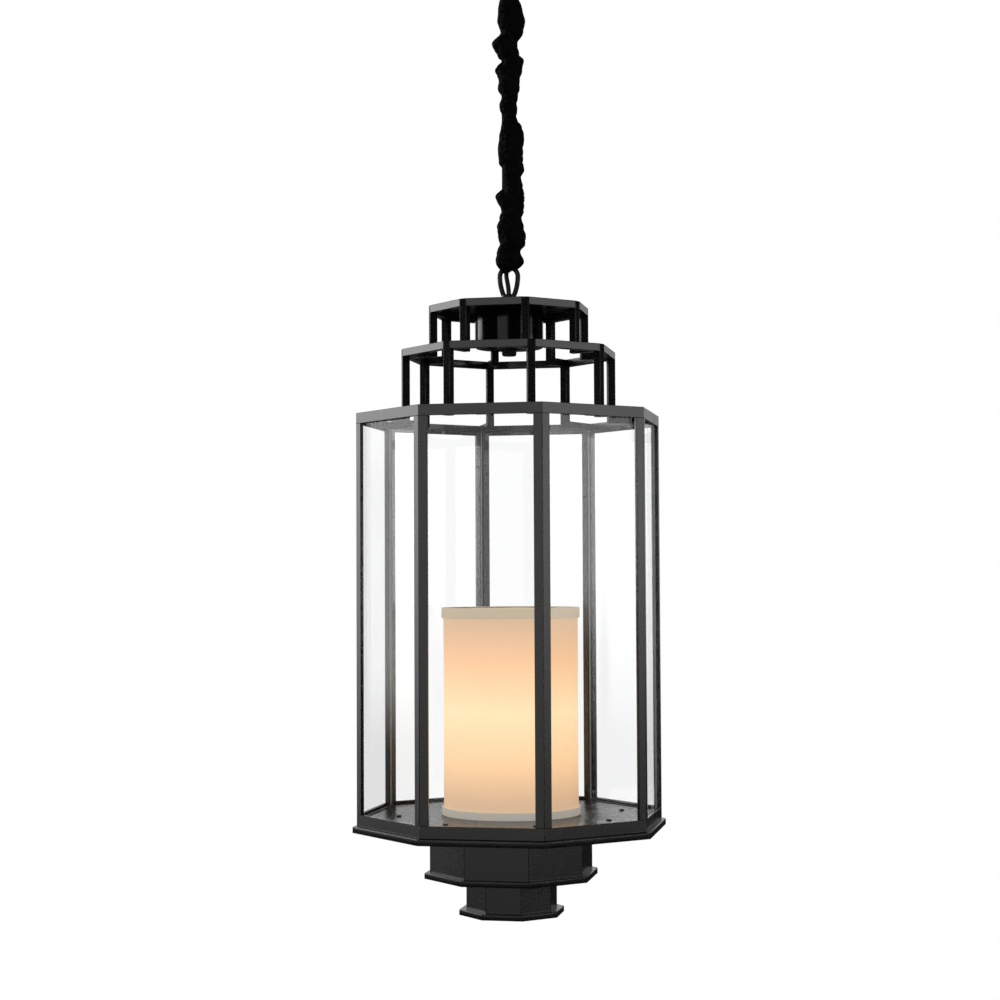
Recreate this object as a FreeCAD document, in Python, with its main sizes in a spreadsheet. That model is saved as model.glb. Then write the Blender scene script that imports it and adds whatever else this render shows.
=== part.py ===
import FreeCAD, Part

import math
import os

import Sketcher

# Hanging eight-sided glass lantern on a sleeved chain: the parametric document.
# Millimetres, +Z up, origin at the centre of the ceiling face of the canopy, so everything hangs below
# z = 0. The flats of the octagon face along X and Y.
doc = FreeCAD.newDocument("HangingLantern")
sheet = doc.addObject("Spreadsheet::Sheet", "Sizes")

SIZES = {
    # ceiling fitting and suspension
    "drop": 515.0,  # ceiling to the top face of the lantern
    "canopy_radius": 58.0,
    "canopy_depth": 30.0,
    "canopy_wall": 1.2,
    "canopy_round": 10.0,  # how far the turned edge runs in from the widest radius
    "canopy_taper": 2.0,
    "canopy_round_rise": 8.0,
    "canopy_screw": 4.5,
    "canopy_screw_head": 4.0,
    "canopy_screw_below": 7.0,
    "canopy_nut_rise": 5.0,
    "bracket_length": 100.0,
    "bracket_width": 20.0,
    "bracket_wall": 2.0,
    "bracket_hole_spacing": 70.0,
    "bracket_hole": 5.0,
    "bracket_ear": 12.0,
    "terminal_start": 14.0,
    "terminal_length": 24.0,
    "terminal_width": 18.0,
    "terminal_rise": 14.0,
    "terminal_below": 10.0,
    "terminal_bore": 1.6,
    "terminal_pitch": 7.0,
    "stem_radius": 5.0,
    "bore_gap": 0.1,
    "thread_gap": 0.05,
    "hook_wire": 5.0,
    "hook_radius": 7.0,
    "hook_drop": 60.0,  # ceiling to the wire's centre at the bottom of the hook
    "link_wire": 4.0,
    "link_bend": 6.5,  # to the centre of the wire
    "link_pitch": 25.0,  # wished for; the chain is shared out to the nearest even number of links
    "link_gap": 0.1,
    "sleeve_gap": 0.7,  # cable to sleeve
    "sleeve_wall": 3.2,
    "sleeve_rise": 49.0,  # top face of the lantern to the bottom of the sleeve
    "sleeve_under_hook": 3.5,
    "cable_size": 6.6,
    "cable_gap": 0.5,  # links to cable
    "cable_exit": 12.0,  # the canopy's cable hole lies this much further out than the cable
    "cable_turn": 11.5,  # degrees, where the cable hangs behind the chain
    # eye on top of the lantern
    "eye_wire": 7.0,
    "eye_bend": 13.0,
    "eye_centre": 44.0,
    "neck_radius": 10.5,
    "neck_rise": 18.0,
    "neck_leg": 7.0,  # neck axis to the foot of each leg of the eye
    "neck_gap": 0.6,  # cable to the bore of the neck
    "flange_radius": 14.0,
    "flange_thick": 3.0,
    # crown of two tiers
    "bar_side": 10.6,  # side of the square bars
    "tier2_radius": 116.8,
    "tier2_rise": 62.4,
    "tier1_radius": 156.1,
    "tier1_rise": 90.7,
    "top_sheet": 2.0,
    "top_screw_inset": 31.0,  # in from the corners of the upper tier
    "top_screw": 4.0,
    "top_screw_head": 3.0,
    "canister_radius": 48.6,
    "canister_depth": 57.0,
    "canister_wall": 1.5,
    "canister_edge": 3.0,
    "canister_nut": 9.3,
    "canister_nut_rise": 10.6,
    # glazed body
    "body_radius": 219.0,
    "body_rise": 575.0,
    "frame_depth": 5.0,
    "stile": 12.0,
    "top_rail": 15.0,
    "bottom_rail": 16.5,
    "seam": 0.5,
    "glass": 3.0,
    "glass_gap": 0.3,
    "bead": 4.0,
    "bead_rise": 14.0,
    "clip_width": 14.0,
    "clip_over": 3.0,
    # base
    "shadow_gap": 0.3,
    "base_lip": 6.0,  # base pan past the glazed body, corner to corner
    "base_depth": 8.7,
    "pan_sheet": 1.6,
    "pan_edge": 1.2,
    "floor_rise": 12.6,  # top of the base pan to the top of the floor
    "floor_sheet": 2.0,
    "floor_gap": 1.0,
    "spacer_radius": 5.0,
    "spacer_inset": 59.0,  # in from the corners of the glazed body
    "floor_screw": 3.5,
    "floor_screw_head": 2.0,
    "base_screw_inset": 16.0,
    "base_screw_head": 2.5,
    "mid_box_radius": 116.6,
    "mid_box_rise": 58.0,
    "mid_pan_lip": 7.7,
    "mid_pan_depth": 8.3,
    "low_box_radius": 65.0,
    "low_box_rise": 43.8,
    "low_pan_lip": 10.2,
    "low_pan_depth": 8.0,
    "box_sheet": 1.6,
    "box_groove": 0.7,
    "rod_below": 0.5,
    "rod_radius": 5.0,
    "nut_width": 16.0,
    "nut_rise": 7.5,
    "low_nut_rise": 5.5,
    # lamp and shade
    "holder_foot": 46.0,  # floor to the bottom of the lamp holder
    "holder_radius": 19.0,
    "holder_rise": 42.0,
    "holder_bore": 13.6,
    "holder_floor": 12.0,
    "holder_collar": 16.0,  # foot of the holder to its collar
    "holder_collar_rise": 3.0,
    "holder_step": 2.0,
    "holder_taper": 6.0,
    "holder_ring_wide": 3.0,
    "holder_ring_rise": 7.0,
    "cap_gap": 0.5,
    "cap_rise": 29.7,
    "cap_tip": 5.0,
    "cap_tip_rise": 4.0,
    "cap_shoulder": 9.0,
    "cap_radius": 13.2,
    "bulb_radius": 30.0,
    "bulb_rise": 84.0,
    "shade_radius": 95.5,
    "shade_rise": 290.0,
    "shade_cloth": 0.8,
    "band_proud": 2.3,
    "band_gap": 0.2,
    "top_band": 15.0,
    "bottom_band": 11.0,
    "ring_wire": 3.0,
}
for row, (alias, number) in enumerate(SIZES.items(), start=1):
    sheet.set(f"A{row}", alias)
    sheet.set(f"B{row}", str(number))
    sheet.setAlias(f"B{row}", alias)
doc.recompute()


def size(text):
    """The number that an expression on the sheet gives."""
    return float(sheet.evalExpression(text))


SIDES = 8
SLOPE = math.tan(math.pi / SIDES)  # half a flat over its distance from the axis
SHARE = math.cos(math.pi / SIDES)  # distance to a flat over distance to a corner
FLAT_TURN = 180.0 / SIDES  # the corners stand this far from the X axis

# Heights, from the ceiling down, as expressions on the sheet.
TOP = "(-Sizes.drop)"
TIER1_TOP = f"({TOP}-Sizes.tier2_rise)"
BODY_TOP = f"({TIER1_TOP}-Sizes.tier1_rise)"
BODY_BOTTOM = f"({BODY_TOP}-Sizes.body_rise)"
BASE_TOP = f"({BODY_BOTTOM}-Sizes.shadow_gap)"
BASE_BOTTOM = f"({BASE_TOP}-Sizes.base_depth)"
MID_TOP = f"({BASE_BOTTOM}-Sizes.mid_box_rise)"
MID_BOTTOM = f"({MID_TOP}-Sizes.mid_pan_depth)"
LOW_TOP = f"({MID_BOTTOM}-Sizes.low_box_rise)"
LOW_BOTTOM = f"({LOW_TOP}-Sizes.low_pan_depth)"
FLOOR_TOP = f"({BASE_TOP}+Sizes.floor_rise)"
FLOOR_UNDER = f"({FLOOR_TOP}-Sizes.floor_sheet)"
CANISTER_TOP = f"({TOP}-Sizes.top_sheet)"
CANISTER_BOTTOM = f"({CANISTER_TOP}-Sizes.canister_depth)"
HOLDER_FOOT = f"({FLOOR_TOP}+Sizes.holder_foot)"
COLLAR_LOW = f"({HOLDER_FOOT}+Sizes.holder_collar)"
COLLAR_HIGH = f"({COLLAR_LOW}+Sizes.holder_collar_rise)"
SHADE_TOP = f"({FLOOR_TOP}+Sizes.shade_rise)"

# Distances from the axis.
FRAME_FLAT = f"({SHARE:.8f}*Sizes.body_radius)"
GLASS_OUT = f"({FRAME_FLAT}-Sizes.frame_depth-Sizes.glass_gap)"
GLASS_IN = f"({GLASS_OUT}-Sizes.glass)"
BEAD_IN = f"({GLASS_IN}-Sizes.glass_gap-Sizes.bead)"
POST_BACK = f"(Sizes.bar_side/2*{SLOPE:.8f})"  # a post's flat face lies this far inside the sharp corner
TIER1_OUT = f"(Sizes.tier1_radius-{POST_BACK})"
TIER2_OUT = f"(Sizes.tier2_radius-{POST_BACK})"
STEM_BORE = "(Sizes.stem_radius+Sizes.bore_gap)"
STEM_THREAD = "(Sizes.stem_radius+Sizes.thread_gap)"
ROD_BORE = "(Sizes.rod_radius+Sizes.bore_gap)"
ROD_THREAD = "(Sizes.rod_radius+Sizes.thread_gap)"
CABLE_AWAY = "(Sizes.link_bend+Sizes.link_wire/2+Sizes.cable_gap+Sizes.cable_size/2)"
SLEEVE_IN = f"({CABLE_AWAY}+Sizes.cable_size/2+Sizes.sleeve_gap)"
BASE_RADIUS = "(Sizes.body_radius+Sizes.base_lip)"
MID_PAN_RADIUS = "(Sizes.mid_box_radius+Sizes.mid_pan_lip)"
LOW_PAN_RADIUS = "(Sizes.low_box_radius+Sizes.low_pan_lip)"
SPACER_CIRCLE = "(Sizes.body_radius-Sizes.spacer_inset)"

subparts = {}


def keep(item, label):
    """Name a finished sub-part; its label is also the name of its file."""
    item.Label = label
    subparts[label] = item
    return item


def origin_feature(body, role):
    """One of the body's own origin planes or axes."""
    return next(f for f in body.Origin.OriginFeatures if f.Role == role)


def outline(body, name, corners, plane="XY_Plane", offset="0"):
    """A closed sketch through corners, each a pair of expressions measured from the axis."""
    sketch = body.newObject("Sketcher::SketchObject", name)
    sketch.AttachmentSupport = [(origin_feature(body, plane), "")]
    sketch.MapMode = "FlatFace"
    sketch.setExpression(".AttachmentOffset.Base.z", offset)
    spots = [FreeCAD.Vector(size(across), size(up), 0) for across, up in corners]
    for spot, following in zip(spots, spots[1:] + spots[:1]):
        sketch.addGeometry(Part.LineSegment(spot, following), False)
    for edge in range(len(spots)):
        sketch.addConstraint(Sketcher.Constraint("Coincident", edge, 2, (edge + 1) % len(spots), 1))
    for edge, (spot, pair) in enumerate(zip(spots, corners)):
        for kind, value, text in zip(("DistanceX", "DistanceY"), spot, pair):
            index = sketch.addConstraint(Sketcher.Constraint(kind, -1, 1, edge, 1, value))
            sketch.setExpression(f"Constraints[{index}]", text)
    return sketch


def pad(body, name, corners, low, high):
    """An upright prism between two heights."""
    feature = body.newObject("PartDesign::Pad", f"{name}_pad")
    feature.Profile = outline(body, f"{name}_outline", corners, offset=low)
    feature.setExpression("Length", f"{high}-{low}")
    return feature


def pocket(body, name, corners, low, high):
    """A straight cut between two heights."""
    feature = body.newObject("PartDesign::Pocket", f"{name}_pocket")
    feature.Profile = outline(body, f"{name}_outline", corners, offset=low)
    feature.Reversed = True
    feature.setExpression("Length", f"{high}-{low}")
    return feature


def round_pocket(body, name, radius, low, high, across="0"):
    """A round hole between two heights, at a distance along X from the axis."""
    sketch = body.newObject("Sketcher::SketchObject", f"{name}_circle")
    sketch.AttachmentSupport = [(origin_feature(body, "XY_Plane"), "")]
    sketch.MapMode = "FlatFace"
    sketch.setExpression(".AttachmentOffset.Base.z", low)
    centre = FreeCAD.Vector(size(across), 0, 0)
    sketch.addGeometry(Part.Circle(centre, FreeCAD.Vector(0, 0, 1), size(radius)), False)
    for kind, value, text in (("DistanceX", centre.x, across), ("DistanceY", 0.0, "0")):
        index = sketch.addConstraint(Sketcher.Constraint(kind, -1, 1, 0, 3, value))
        sketch.setExpression(f"Constraints[{index}]", text)
    index = sketch.addConstraint(Sketcher.Constraint("Radius", 0, size(radius)))
    sketch.setExpression(f"Constraints[{index}]", radius)
    feature = body.newObject("PartDesign::Pocket", f"{name}_hole")
    feature.Profile = sketch
    feature.Reversed = True
    feature.setExpression("Length", f"{high}-{low}")
    return feature


def around(body, feature, count=SIDES, turn=0.0):
    """Repeat a feature evenly about the upright axis, then turn the whole body."""
    pattern = body.newObject("PartDesign::PolarPattern", f"{feature.Name}_around")
    pattern.Originals = [feature]
    pattern.Axis = (origin_feature(body, "Z_Axis"), [""])
    pattern.Angle = 360
    pattern.Occurrences = count
    body.Tip = pattern
    body.Placement.Rotation = FreeCAD.Rotation(FreeCAD.Vector(0, 0, 1), turn)
    return pattern


def new_body(label):
    """An empty body for one sub-part."""
    return keep(doc.addObject("PartDesign::Body", label), label)


def turned(label, corners):
    """A sub-part turned about the upright axis from an outline of radius and height."""
    body = new_body(label)
    feature = body.newObject("PartDesign::Revolution", f"{label}_turn")
    feature.Profile = outline(body, f"{label}_outline", corners, plane="XZ_Plane")
    feature.ReferenceAxis = (origin_feature(body, "Z_Axis"), [""])
    feature.Angle = 360
    return body


def tube(label, inner, outer, low, high):
    """A round tube between two heights."""
    return turned(label, [(inner, low), (outer, low), (outer, high), (inner, high)])


def bars(label, corners, low, high, turn=0.0):
    """Eight equal upright prisms around the axis, as separate solids."""
    body = new_body(label)
    around(body, pad(body, label, corners, low, high), turn=turn)
    return body


def round_bars(label, radius, circle, low, high, turn=FLAT_TURN):
    """Eight equal round posts on a circle."""
    body = new_body(label)
    sketch = body.newObject("Sketcher::SketchObject", f"{label}_outline")
    sketch.AttachmentSupport = [(origin_feature(body, "XY_Plane"), "")]
    sketch.MapMode = "FlatFace"
    sketch.setExpression(".AttachmentOffset.Base.z", low)
    spot = FreeCAD.Vector(size(circle), 0, 0)
    sketch.addGeometry(Part.Circle(spot, FreeCAD.Vector(0, 0, 1), size(radius)), False)
    place = sketch.addConstraint(Sketcher.Constraint("DistanceX", -1, 1, 0, 3, spot.x))
    sketch.setExpression(f"Constraints[{place}]", circle)
    width = sketch.addConstraint(Sketcher.Constraint("Radius", 0, size(radius)))
    sketch.setExpression(f"Constraints[{width}]", radius)
    feature = body.newObject("PartDesign::Pad", f"{label}_pad")
    feature.Profile = sketch
    feature.setExpression("Length", f"{high}-{low}")
    around(body, feature, turn=turn)
    return body


def block(inner, outer, width):
    """The outline of a bar that lies across the X axis."""
    return [(inner, f"-{width}/2"), (outer, f"-{width}/2"), (outer, f"{width}/2"), (inner, f"{width}/2")]


def flat_bar(flat, depth, shortened):
    """The outline of one side of an octagonal ring, its ends along the lines to the corners."""
    ends = []
    for distance in (flat, f"({flat}-{depth})"):
        ends.append((distance, f"({SLOPE:.8f}*{distance}-{shortened}/{SHARE:.8f})"))
    (outer, outer_half), (inner, inner_half) = ends
    return [(outer, f"-{outer_half}"), (outer, outer_half), (inner, inner_half), (inner, f"-{inner_half}")]


def octagon(radius, first=FLAT_TURN):
    """The corners of an octagon; as it stands its flats face along the X and Y axes."""
    corners = []
    for index in range(SIDES):
        angle = math.radians(first + index * 360.0 / SIDES)
        corners.append((f"{math.cos(angle):.8f}*{radius}", f"{math.sin(angle):.8f}*{radius}"))
    return corners


def hexagon(width):
    """The corners of a nut with that distance across its flats."""
    corners = []
    for index in range(6):
        angle = math.radians(index * 60.0)
        reach = 1.0 / math.sqrt(3.0)
        corners.append((f"{reach * math.cos(angle):.8f}*{width}", f"{reach * math.sin(angle):.8f}*{width}"))
    return corners


def nut(label, width, bore, low, high):
    """A hexagon nut with a plain bore."""
    body = new_body(label)
    pad(body, label, hexagon(width), low, high)
    round_pocket(body, f"{label}_bore", bore, low, high)
    return body


def round_path(points, radii):
    """A wire of straight runs through points, joined by tangent arcs."""
    edges = []
    start = points[0]
    for before, corner, after, radius in zip(points, points[1:], points[2:], radii):
        back = (before - corner).normalize()
        ahead = (after - corner).normalize()
        half = back.getAngle(ahead) / 2
        reach = radius / math.tan(half)
        bisector = (back + ahead).normalize()
        first = corner + back * reach
        last = corner + ahead * reach
        middle = corner + bisector * (radius / math.sin(half) - radius)
        edges.append(Part.LineSegment(start, first).toShape())
        edges.append(Part.Arc(first, middle, last).toShape())
        start = last
    edges.append(Part.LineSegment(start, points[-1]).toShape())
    return Part.Wire(edges)


def easy_radii(points, share, largest):
    """For each inner point of a route, the bend that uses a share of the shorter run beside it."""
    radii = []
    for before, corner, after in zip(points, points[1:], points[2:]):
        turn = (corner - before).getAngle(after - corner)
        shorter = min((corner - before).Length, (after - corner).Length)
        radii.append(min(share * shorter / math.tan(turn / 2), largest))
    return radii


def swept(path, diameter):
    """A round bar along a wire."""
    start = path.OrderedEdges[0]
    spot = start.valueAt(start.FirstParameter)
    along = start.tangentAt(start.FirstParameter)
    section = Part.Wire(Part.Circle(spot, along, diameter / 2).toShape())
    return path.makePipeShell([section], True, True)


def shaped(label, shape):
    """A sub-part whose shape is worked out here from the sheet."""
    item = keep(doc.addObject("Part::Feature", label), label)
    item.Shape = shape
    return item


def ring_link(bottom, length, bend, wire, turn):
    """A closed chain link or hook ring: two half circles joined by straights."""
    low = bottom + bend
    high = bottom + length - bend
    corner = [FreeCAD.Vector(bend, 0, low), FreeCAD.Vector(bend, 0, high)]
    facing = [FreeCAD.Vector(-bend, 0, high), FreeCAD.Vector(-bend, 0, low)]
    edges = []
    if high - low > 0.01:
        edges.append(Part.LineSegment(corner[0], corner[1]).toShape())
    edges.append(Part.Arc(corner[1], FreeCAD.Vector(0, 0, high + bend), facing[0]).toShape())
    if high - low > 0.01:
        edges.append(Part.LineSegment(facing[0], facing[1]).toShape())
    edges.append(Part.Arc(facing[1], FreeCAD.Vector(0, 0, low - bend), corner[0]).toShape())
    shape = swept(Part.Wire(edges), wire)
    return shape.rotate(FreeCAD.Vector(0, 0, 0), FreeCAD.Vector(0, 0, 1), turn)


# ---------------------------------------------------------------- ceiling fitting
CANOPY_IN = "(Sizes.canopy_radius-Sizes.canopy_wall)"
CANOPY_FLOOR = "(-Sizes.canopy_depth)"
CANOPY_ROUND_LOW = f"({CANOPY_FLOOR}+Sizes.canopy_round_rise)"
CANOPY_SHEET_TOP = f"({CANOPY_FLOOR}+Sizes.canopy_wall)"
canopy = turned("canopy", [
    (STEM_BORE, CANOPY_FLOOR),
    ("(Sizes.canopy_radius-Sizes.canopy_round)", CANOPY_FLOOR),
    ("(Sizes.canopy_radius-Sizes.canopy_taper)", CANOPY_ROUND_LOW),
    ("Sizes.canopy_radius", "0"),
    (CANOPY_IN, "0"),
    (f"({CANOPY_IN}-Sizes.canopy_taper)", f"({CANOPY_ROUND_LOW}+Sizes.canopy_wall/2)"),
    (f"({CANOPY_IN}-Sizes.canopy_round)", CANOPY_SHEET_TOP),
    (STEM_BORE, CANOPY_SHEET_TOP),
])
CABLE_HOLE = f"({CABLE_AWAY}+Sizes.cable_exit)"
round_pocket(canopy, "canopy_cable", "(Sizes.cable_size/2+1)", f"({CANOPY_FLOOR}-1)", f"({CANOPY_SHEET_TOP}+1)",
             CABLE_HOLE)
canopy.Placement.Rotation = FreeCAD.Rotation(FreeCAD.Vector(0, 0, 1), 90.0 + size("Sizes.cable_turn"))

bracket = new_body("ceiling_bracket")
pad(bracket, "bracket", block("-Sizes.bracket_length/2", "Sizes.bracket_length/2", "Sizes.bracket_width"),
    "(-Sizes.bracket_wall)", "0")
for name, across in (("left", "-Sizes.bracket_hole_spacing/2"), ("right", "Sizes.bracket_hole_spacing/2")):
    round_pocket(bracket, f"bracket_{name}", "Sizes.bracket_hole/2", "(-Sizes.bracket_wall-1)", "1", across)
round_pocket(bracket, "bracket_stem", STEM_BORE, "(-Sizes.bracket_wall-1)", "1")
for name, sign in (("left", "-"), ("right", "")):
    far = f"({sign}Sizes.bracket_length/2)"
    near = f"({sign}(Sizes.bracket_length/2-Sizes.bracket_wall))"
    pad(bracket, f"bracket_ear_{name}", block(near, far, "Sizes.bracket_width"), "(-Sizes.bracket_ear)",
        "(-Sizes.bracket_wall/2)")

HOOK_TOP = size("-Sizes.hook_drop+2*Sizes.hook_radius")
stem = Part.makeCylinder(size("Sizes.stem_radius"), -HOOK_TOP - size("Sizes.bracket_wall") + 2,
                         FreeCAD.Vector(0, 0, HOOK_TOP))
hook_ring = ring_link(size("-Sizes.hook_drop"), size("2*Sizes.hook_radius"), size("Sizes.hook_radius"),
                      size("Sizes.hook_wire"), 90.0)
shaped("hook", stem.fuse(hook_ring).removeSplitter())
nut("hook_nut", "Sizes.nut_width", STEM_THREAD, "(-Sizes.bracket_wall-Sizes.nut_rise)", "(-Sizes.bracket_wall)")
nut("canopy_nut", "Sizes.nut_width", STEM_THREAD, f"({CANOPY_FLOOR}-Sizes.canopy_nut_rise)", CANOPY_FLOOR)

screws = new_body("canopy_screws")
for name, side in (("left", -1), ("right", 1)):
    sketch = screws.newObject("Sketcher::SketchObject", f"canopy_screw_{name}")
    sketch.AttachmentSupport = [(origin_feature(screws, "YZ_Plane"), "")]
    sketch.MapMode = "FlatFace"
    sketch.setExpression(".AttachmentOffset.Base.z", f"{side}*(Sizes.canopy_radius+Sizes.bore_gap)")
    spot = FreeCAD.Vector(0, size("-Sizes.canopy_screw_below"), 0)
    sketch.addGeometry(Part.Circle(spot, FreeCAD.Vector(0, 0, 1), size("Sizes.canopy_screw")), False)
    level = sketch.addConstraint(Sketcher.Constraint("DistanceY", -1, 1, 0, 3, spot.y))
    sketch.setExpression(f"Constraints[{level}]", "-Sizes.canopy_screw_below")
    width = sketch.addConstraint(Sketcher.Constraint("Radius", 0, size("Sizes.canopy_screw")))
    sketch.setExpression(f"Constraints[{width}]", "Sizes.canopy_screw")
    feature = screws.newObject("PartDesign::Pad", f"canopy_screw_{name}_head")
    feature.Profile = sketch
    feature.Reversed = side < 0
    feature.setExpression("Length", "Sizes.canopy_screw_head")

terminal = new_body("terminal_block")
TERMINAL_HIGH = "(-Sizes.terminal_below)"
TERMINAL_LOW = f"({TERMINAL_HIGH}-Sizes.terminal_rise)"
TERMINAL_END = "(Sizes.terminal_start+Sizes.terminal_length)"
pad(terminal, "terminal", block("Sizes.terminal_start", TERMINAL_END, "Sizes.terminal_width"), TERMINAL_LOW,
    TERMINAL_HIGH)
for step in (-1, 0, 1):
    way = f"(Sizes.terminal_start+Sizes.terminal_length/2+{step}*Sizes.terminal_pitch)"
    round_pocket(terminal, f"terminal_{step + 1}", "Sizes.terminal_bore", f"({TERMINAL_LOW}-1)",
                 f"({TERMINAL_HIGH}+1)", way)
terminal.Placement.Rotation = FreeCAD.Rotation(FreeCAD.Vector(0, 0, 1), 180.0)

# ---------------------------------------------------------------- chain, sleeve and cable
wire_size = size("Sizes.link_wire")
gap = size("Sizes.link_gap")
eye_top = size(f"{TOP}+Sizes.eye_centre+Sizes.eye_bend")
first_low = eye_top - size("Sizes.eye_wire") / 2 - gap - wire_size / 2
hook_low = size("-Sizes.hook_drop")
last_high = hook_low + size("Sizes.hook_wire") / 2 + gap + wire_size / 2
lap = wire_size + gap
link_total = 2 * round((last_high - first_low - lap) / (2 * size("Sizes.link_pitch")))
pitch = (last_high - first_low - lap) / link_total
link_length = pitch + lap


def chain_link(index):
    """One link, counted from the eye of the lantern; they stand across each other in turn."""
    turn = 90.0 if index % 2 == 0 else 0.0
    return ring_link(first_low + index * pitch, link_length, size("Sizes.link_bend"), wire_size, turn)


shaped("bottom_link", chain_link(0))
shaped("chain_links", Part.makeCompound([chain_link(index) for index in range(1, link_total - 1)]))
shaped("top_link", chain_link(link_total - 1))

SLEEVE_LOW = f"({TOP}+Sizes.sleeve_rise)"
SLEEVE_HIGH = "(-Sizes.hook_drop-Sizes.hook_wire/2-Sizes.sleeve_under_hook)"
tube("chain_sleeve", SLEEVE_IN, f"({SLEEVE_IN}+Sizes.sleeve_wall)", SLEEVE_LOW, SLEEVE_HIGH)

behind = math.radians(90.0 + size("Sizes.cable_turn"))
away = size(CABLE_AWAY)
cable_x = away * math.cos(behind)
cable_y = away * math.sin(behind)
cable_size = size("Sizes.cable_size")
top = size(TOP)
tail_high = top + size("Sizes.sleeve_rise") + 28.0
# The tail leaves the neck upright, crosses the eye on its left and joins the cable behind the chain.
TAIL = [(0, 0, -26), (0, 0, 6), (-0.3, 0.6, 24), (-2.6, 3.4, 36), (-5.6, 8.0, 46), (-5.2, 11.4, 58)]
tail_points = [FreeCAD.Vector(x, y, top + z) for x, y, z in TAIL]
tail_points.append(FreeCAD.Vector(cable_x, cable_y, top + 69.0))
tail_points.append(FreeCAD.Vector(cable_x, cable_y, tail_high))
tail_path = round_path(tail_points, easy_radii(tail_points, 0.45, 400.0))
shaped("cable_tail", swept(tail_path, cable_size))

run_high = size(SLEEVE_HIGH)
shaped("cable_run", Part.makeCylinder(cable_size / 2, run_high - tail_high,
                                      FreeCAD.Vector(cable_x, cable_y, tail_high)))
hole = size(CABLE_HOLE)
exit_x = hole * math.cos(behind)
exit_y = hole * math.sin(behind)
canopy_low = size(CANOPY_FLOOR)
upper_points = [
    FreeCAD.Vector(cable_x, cable_y, run_high),
    FreeCAD.Vector(cable_x, cable_y, run_high + 7.0),
    FreeCAD.Vector(exit_x - 1.0, exit_y - 1.5, canopy_low - 9.0),
    FreeCAD.Vector(exit_x, exit_y, canopy_low + 8.0),
]
upper_path = round_path(upper_points, easy_radii(upper_points, 0.48, 60.0))
shaped("cable_upper", swept(upper_path, cable_size))
print("cable length", round(tail_path.Length + run_high - tail_high + upper_path.Length, 1))

# ---------------------------------------------------------------- eye and top plate
bend = size("Sizes.eye_bend")
centre = size(f"{TOP}+Sizes.eye_centre")
leg = size("Sizes.neck_leg")
foot = size(f"{TOP}+Sizes.neck_rise") - 2.0  # the eye runs on a little way inside the neck
fall = centre - foot
sweep_radius = (fall * fall + (bend - leg) ** 2) / (2 * (bend - leg))
half_angle = math.asin(fall / sweep_radius) / 2
mid_x = bend - sweep_radius * (1 - math.cos(half_angle))
mid_z = centre - sweep_radius * math.sin(half_angle)
eye_edges = [
    Part.Arc(FreeCAD.Vector(-leg, 0, foot), FreeCAD.Vector(-mid_x, 0, mid_z),
             FreeCAD.Vector(-bend, 0, centre)).toShape(),
    Part.Arc(FreeCAD.Vector(-bend, 0, centre), FreeCAD.Vector(0, 0, centre + bend),
             FreeCAD.Vector(bend, 0, centre)).toShape(),
    Part.Arc(FreeCAD.Vector(bend, 0, centre), FreeCAD.Vector(mid_x, 0, mid_z),
             FreeCAD.Vector(leg, 0, foot)).toShape(),
]
eye = swept(Part.Wire(eye_edges), size("Sizes.eye_wire"))
neck_radius = size("Sizes.neck_radius")
neck = Part.makeCylinder(neck_radius, size("Sizes.neck_rise"), FreeCAD.Vector(0, 0, top))
neck = neck.makeFillet(2.5, [edge for edge in neck.Edges if edge.BoundBox.ZMin > top + 1 and edge.Closed])
flange = Part.makeCylinder(size("Sizes.flange_radius"), size("Sizes.flange_thick"), FreeCAD.Vector(0, 0, top))
nipple_low = size(f"{CANISTER_BOTTOM}-Sizes.canister_nut_rise+0.6")
nipple = Part.makeCylinder(size("Sizes.stem_radius"), top - nipple_low, FreeCAD.Vector(0, 0, nipple_low))
bore_low = nipple_low - 2.0
bore = Part.makeCylinder(size("Sizes.cable_size/2+Sizes.neck_gap"), top + 40.0 - bore_low,
                         FreeCAD.Vector(0, 0, bore_low))
eye_bolt = eye.fuse([neck, flange]).cut(bore).removeSplitter()
shaped("eye_bolt", eye_bolt)
shaped("stem_tube", nipple.cut(bore))

tier2_flat = f"({SHARE:.8f}*Sizes.tier2_radius)"
tier1_flat = f"({SHARE:.8f}*Sizes.tier1_radius)"
plate = new_body("top_plate")
pad(plate, "top_plate", octagon(f"(({tier2_flat}-Sizes.bar_side)/{SHARE:.8f})", first=0.0), CANISTER_TOP, TOP)
notch_outline = block(f"({TIER2_OUT}-Sizes.bar_side-0.1)", f"({TIER2_OUT}+5)", "(Sizes.bar_side*2)")
notch = pocket(plate, "top_plate_notch", notch_outline, f"({CANISTER_TOP}-1)", f"({TOP}+1)")
around(plate, notch, turn=FLAT_TURN)
round_pocket(plate, "top_plate_bore", STEM_BORE, f"({CANISTER_TOP}-1)", f"({TOP}+1)")

round_bars("top_screws", "Sizes.top_screw", "(Sizes.tier2_radius-Sizes.top_screw_inset)",
           f"({CANISTER_TOP}-Sizes.top_screw_head)", CANISTER_TOP)

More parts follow.
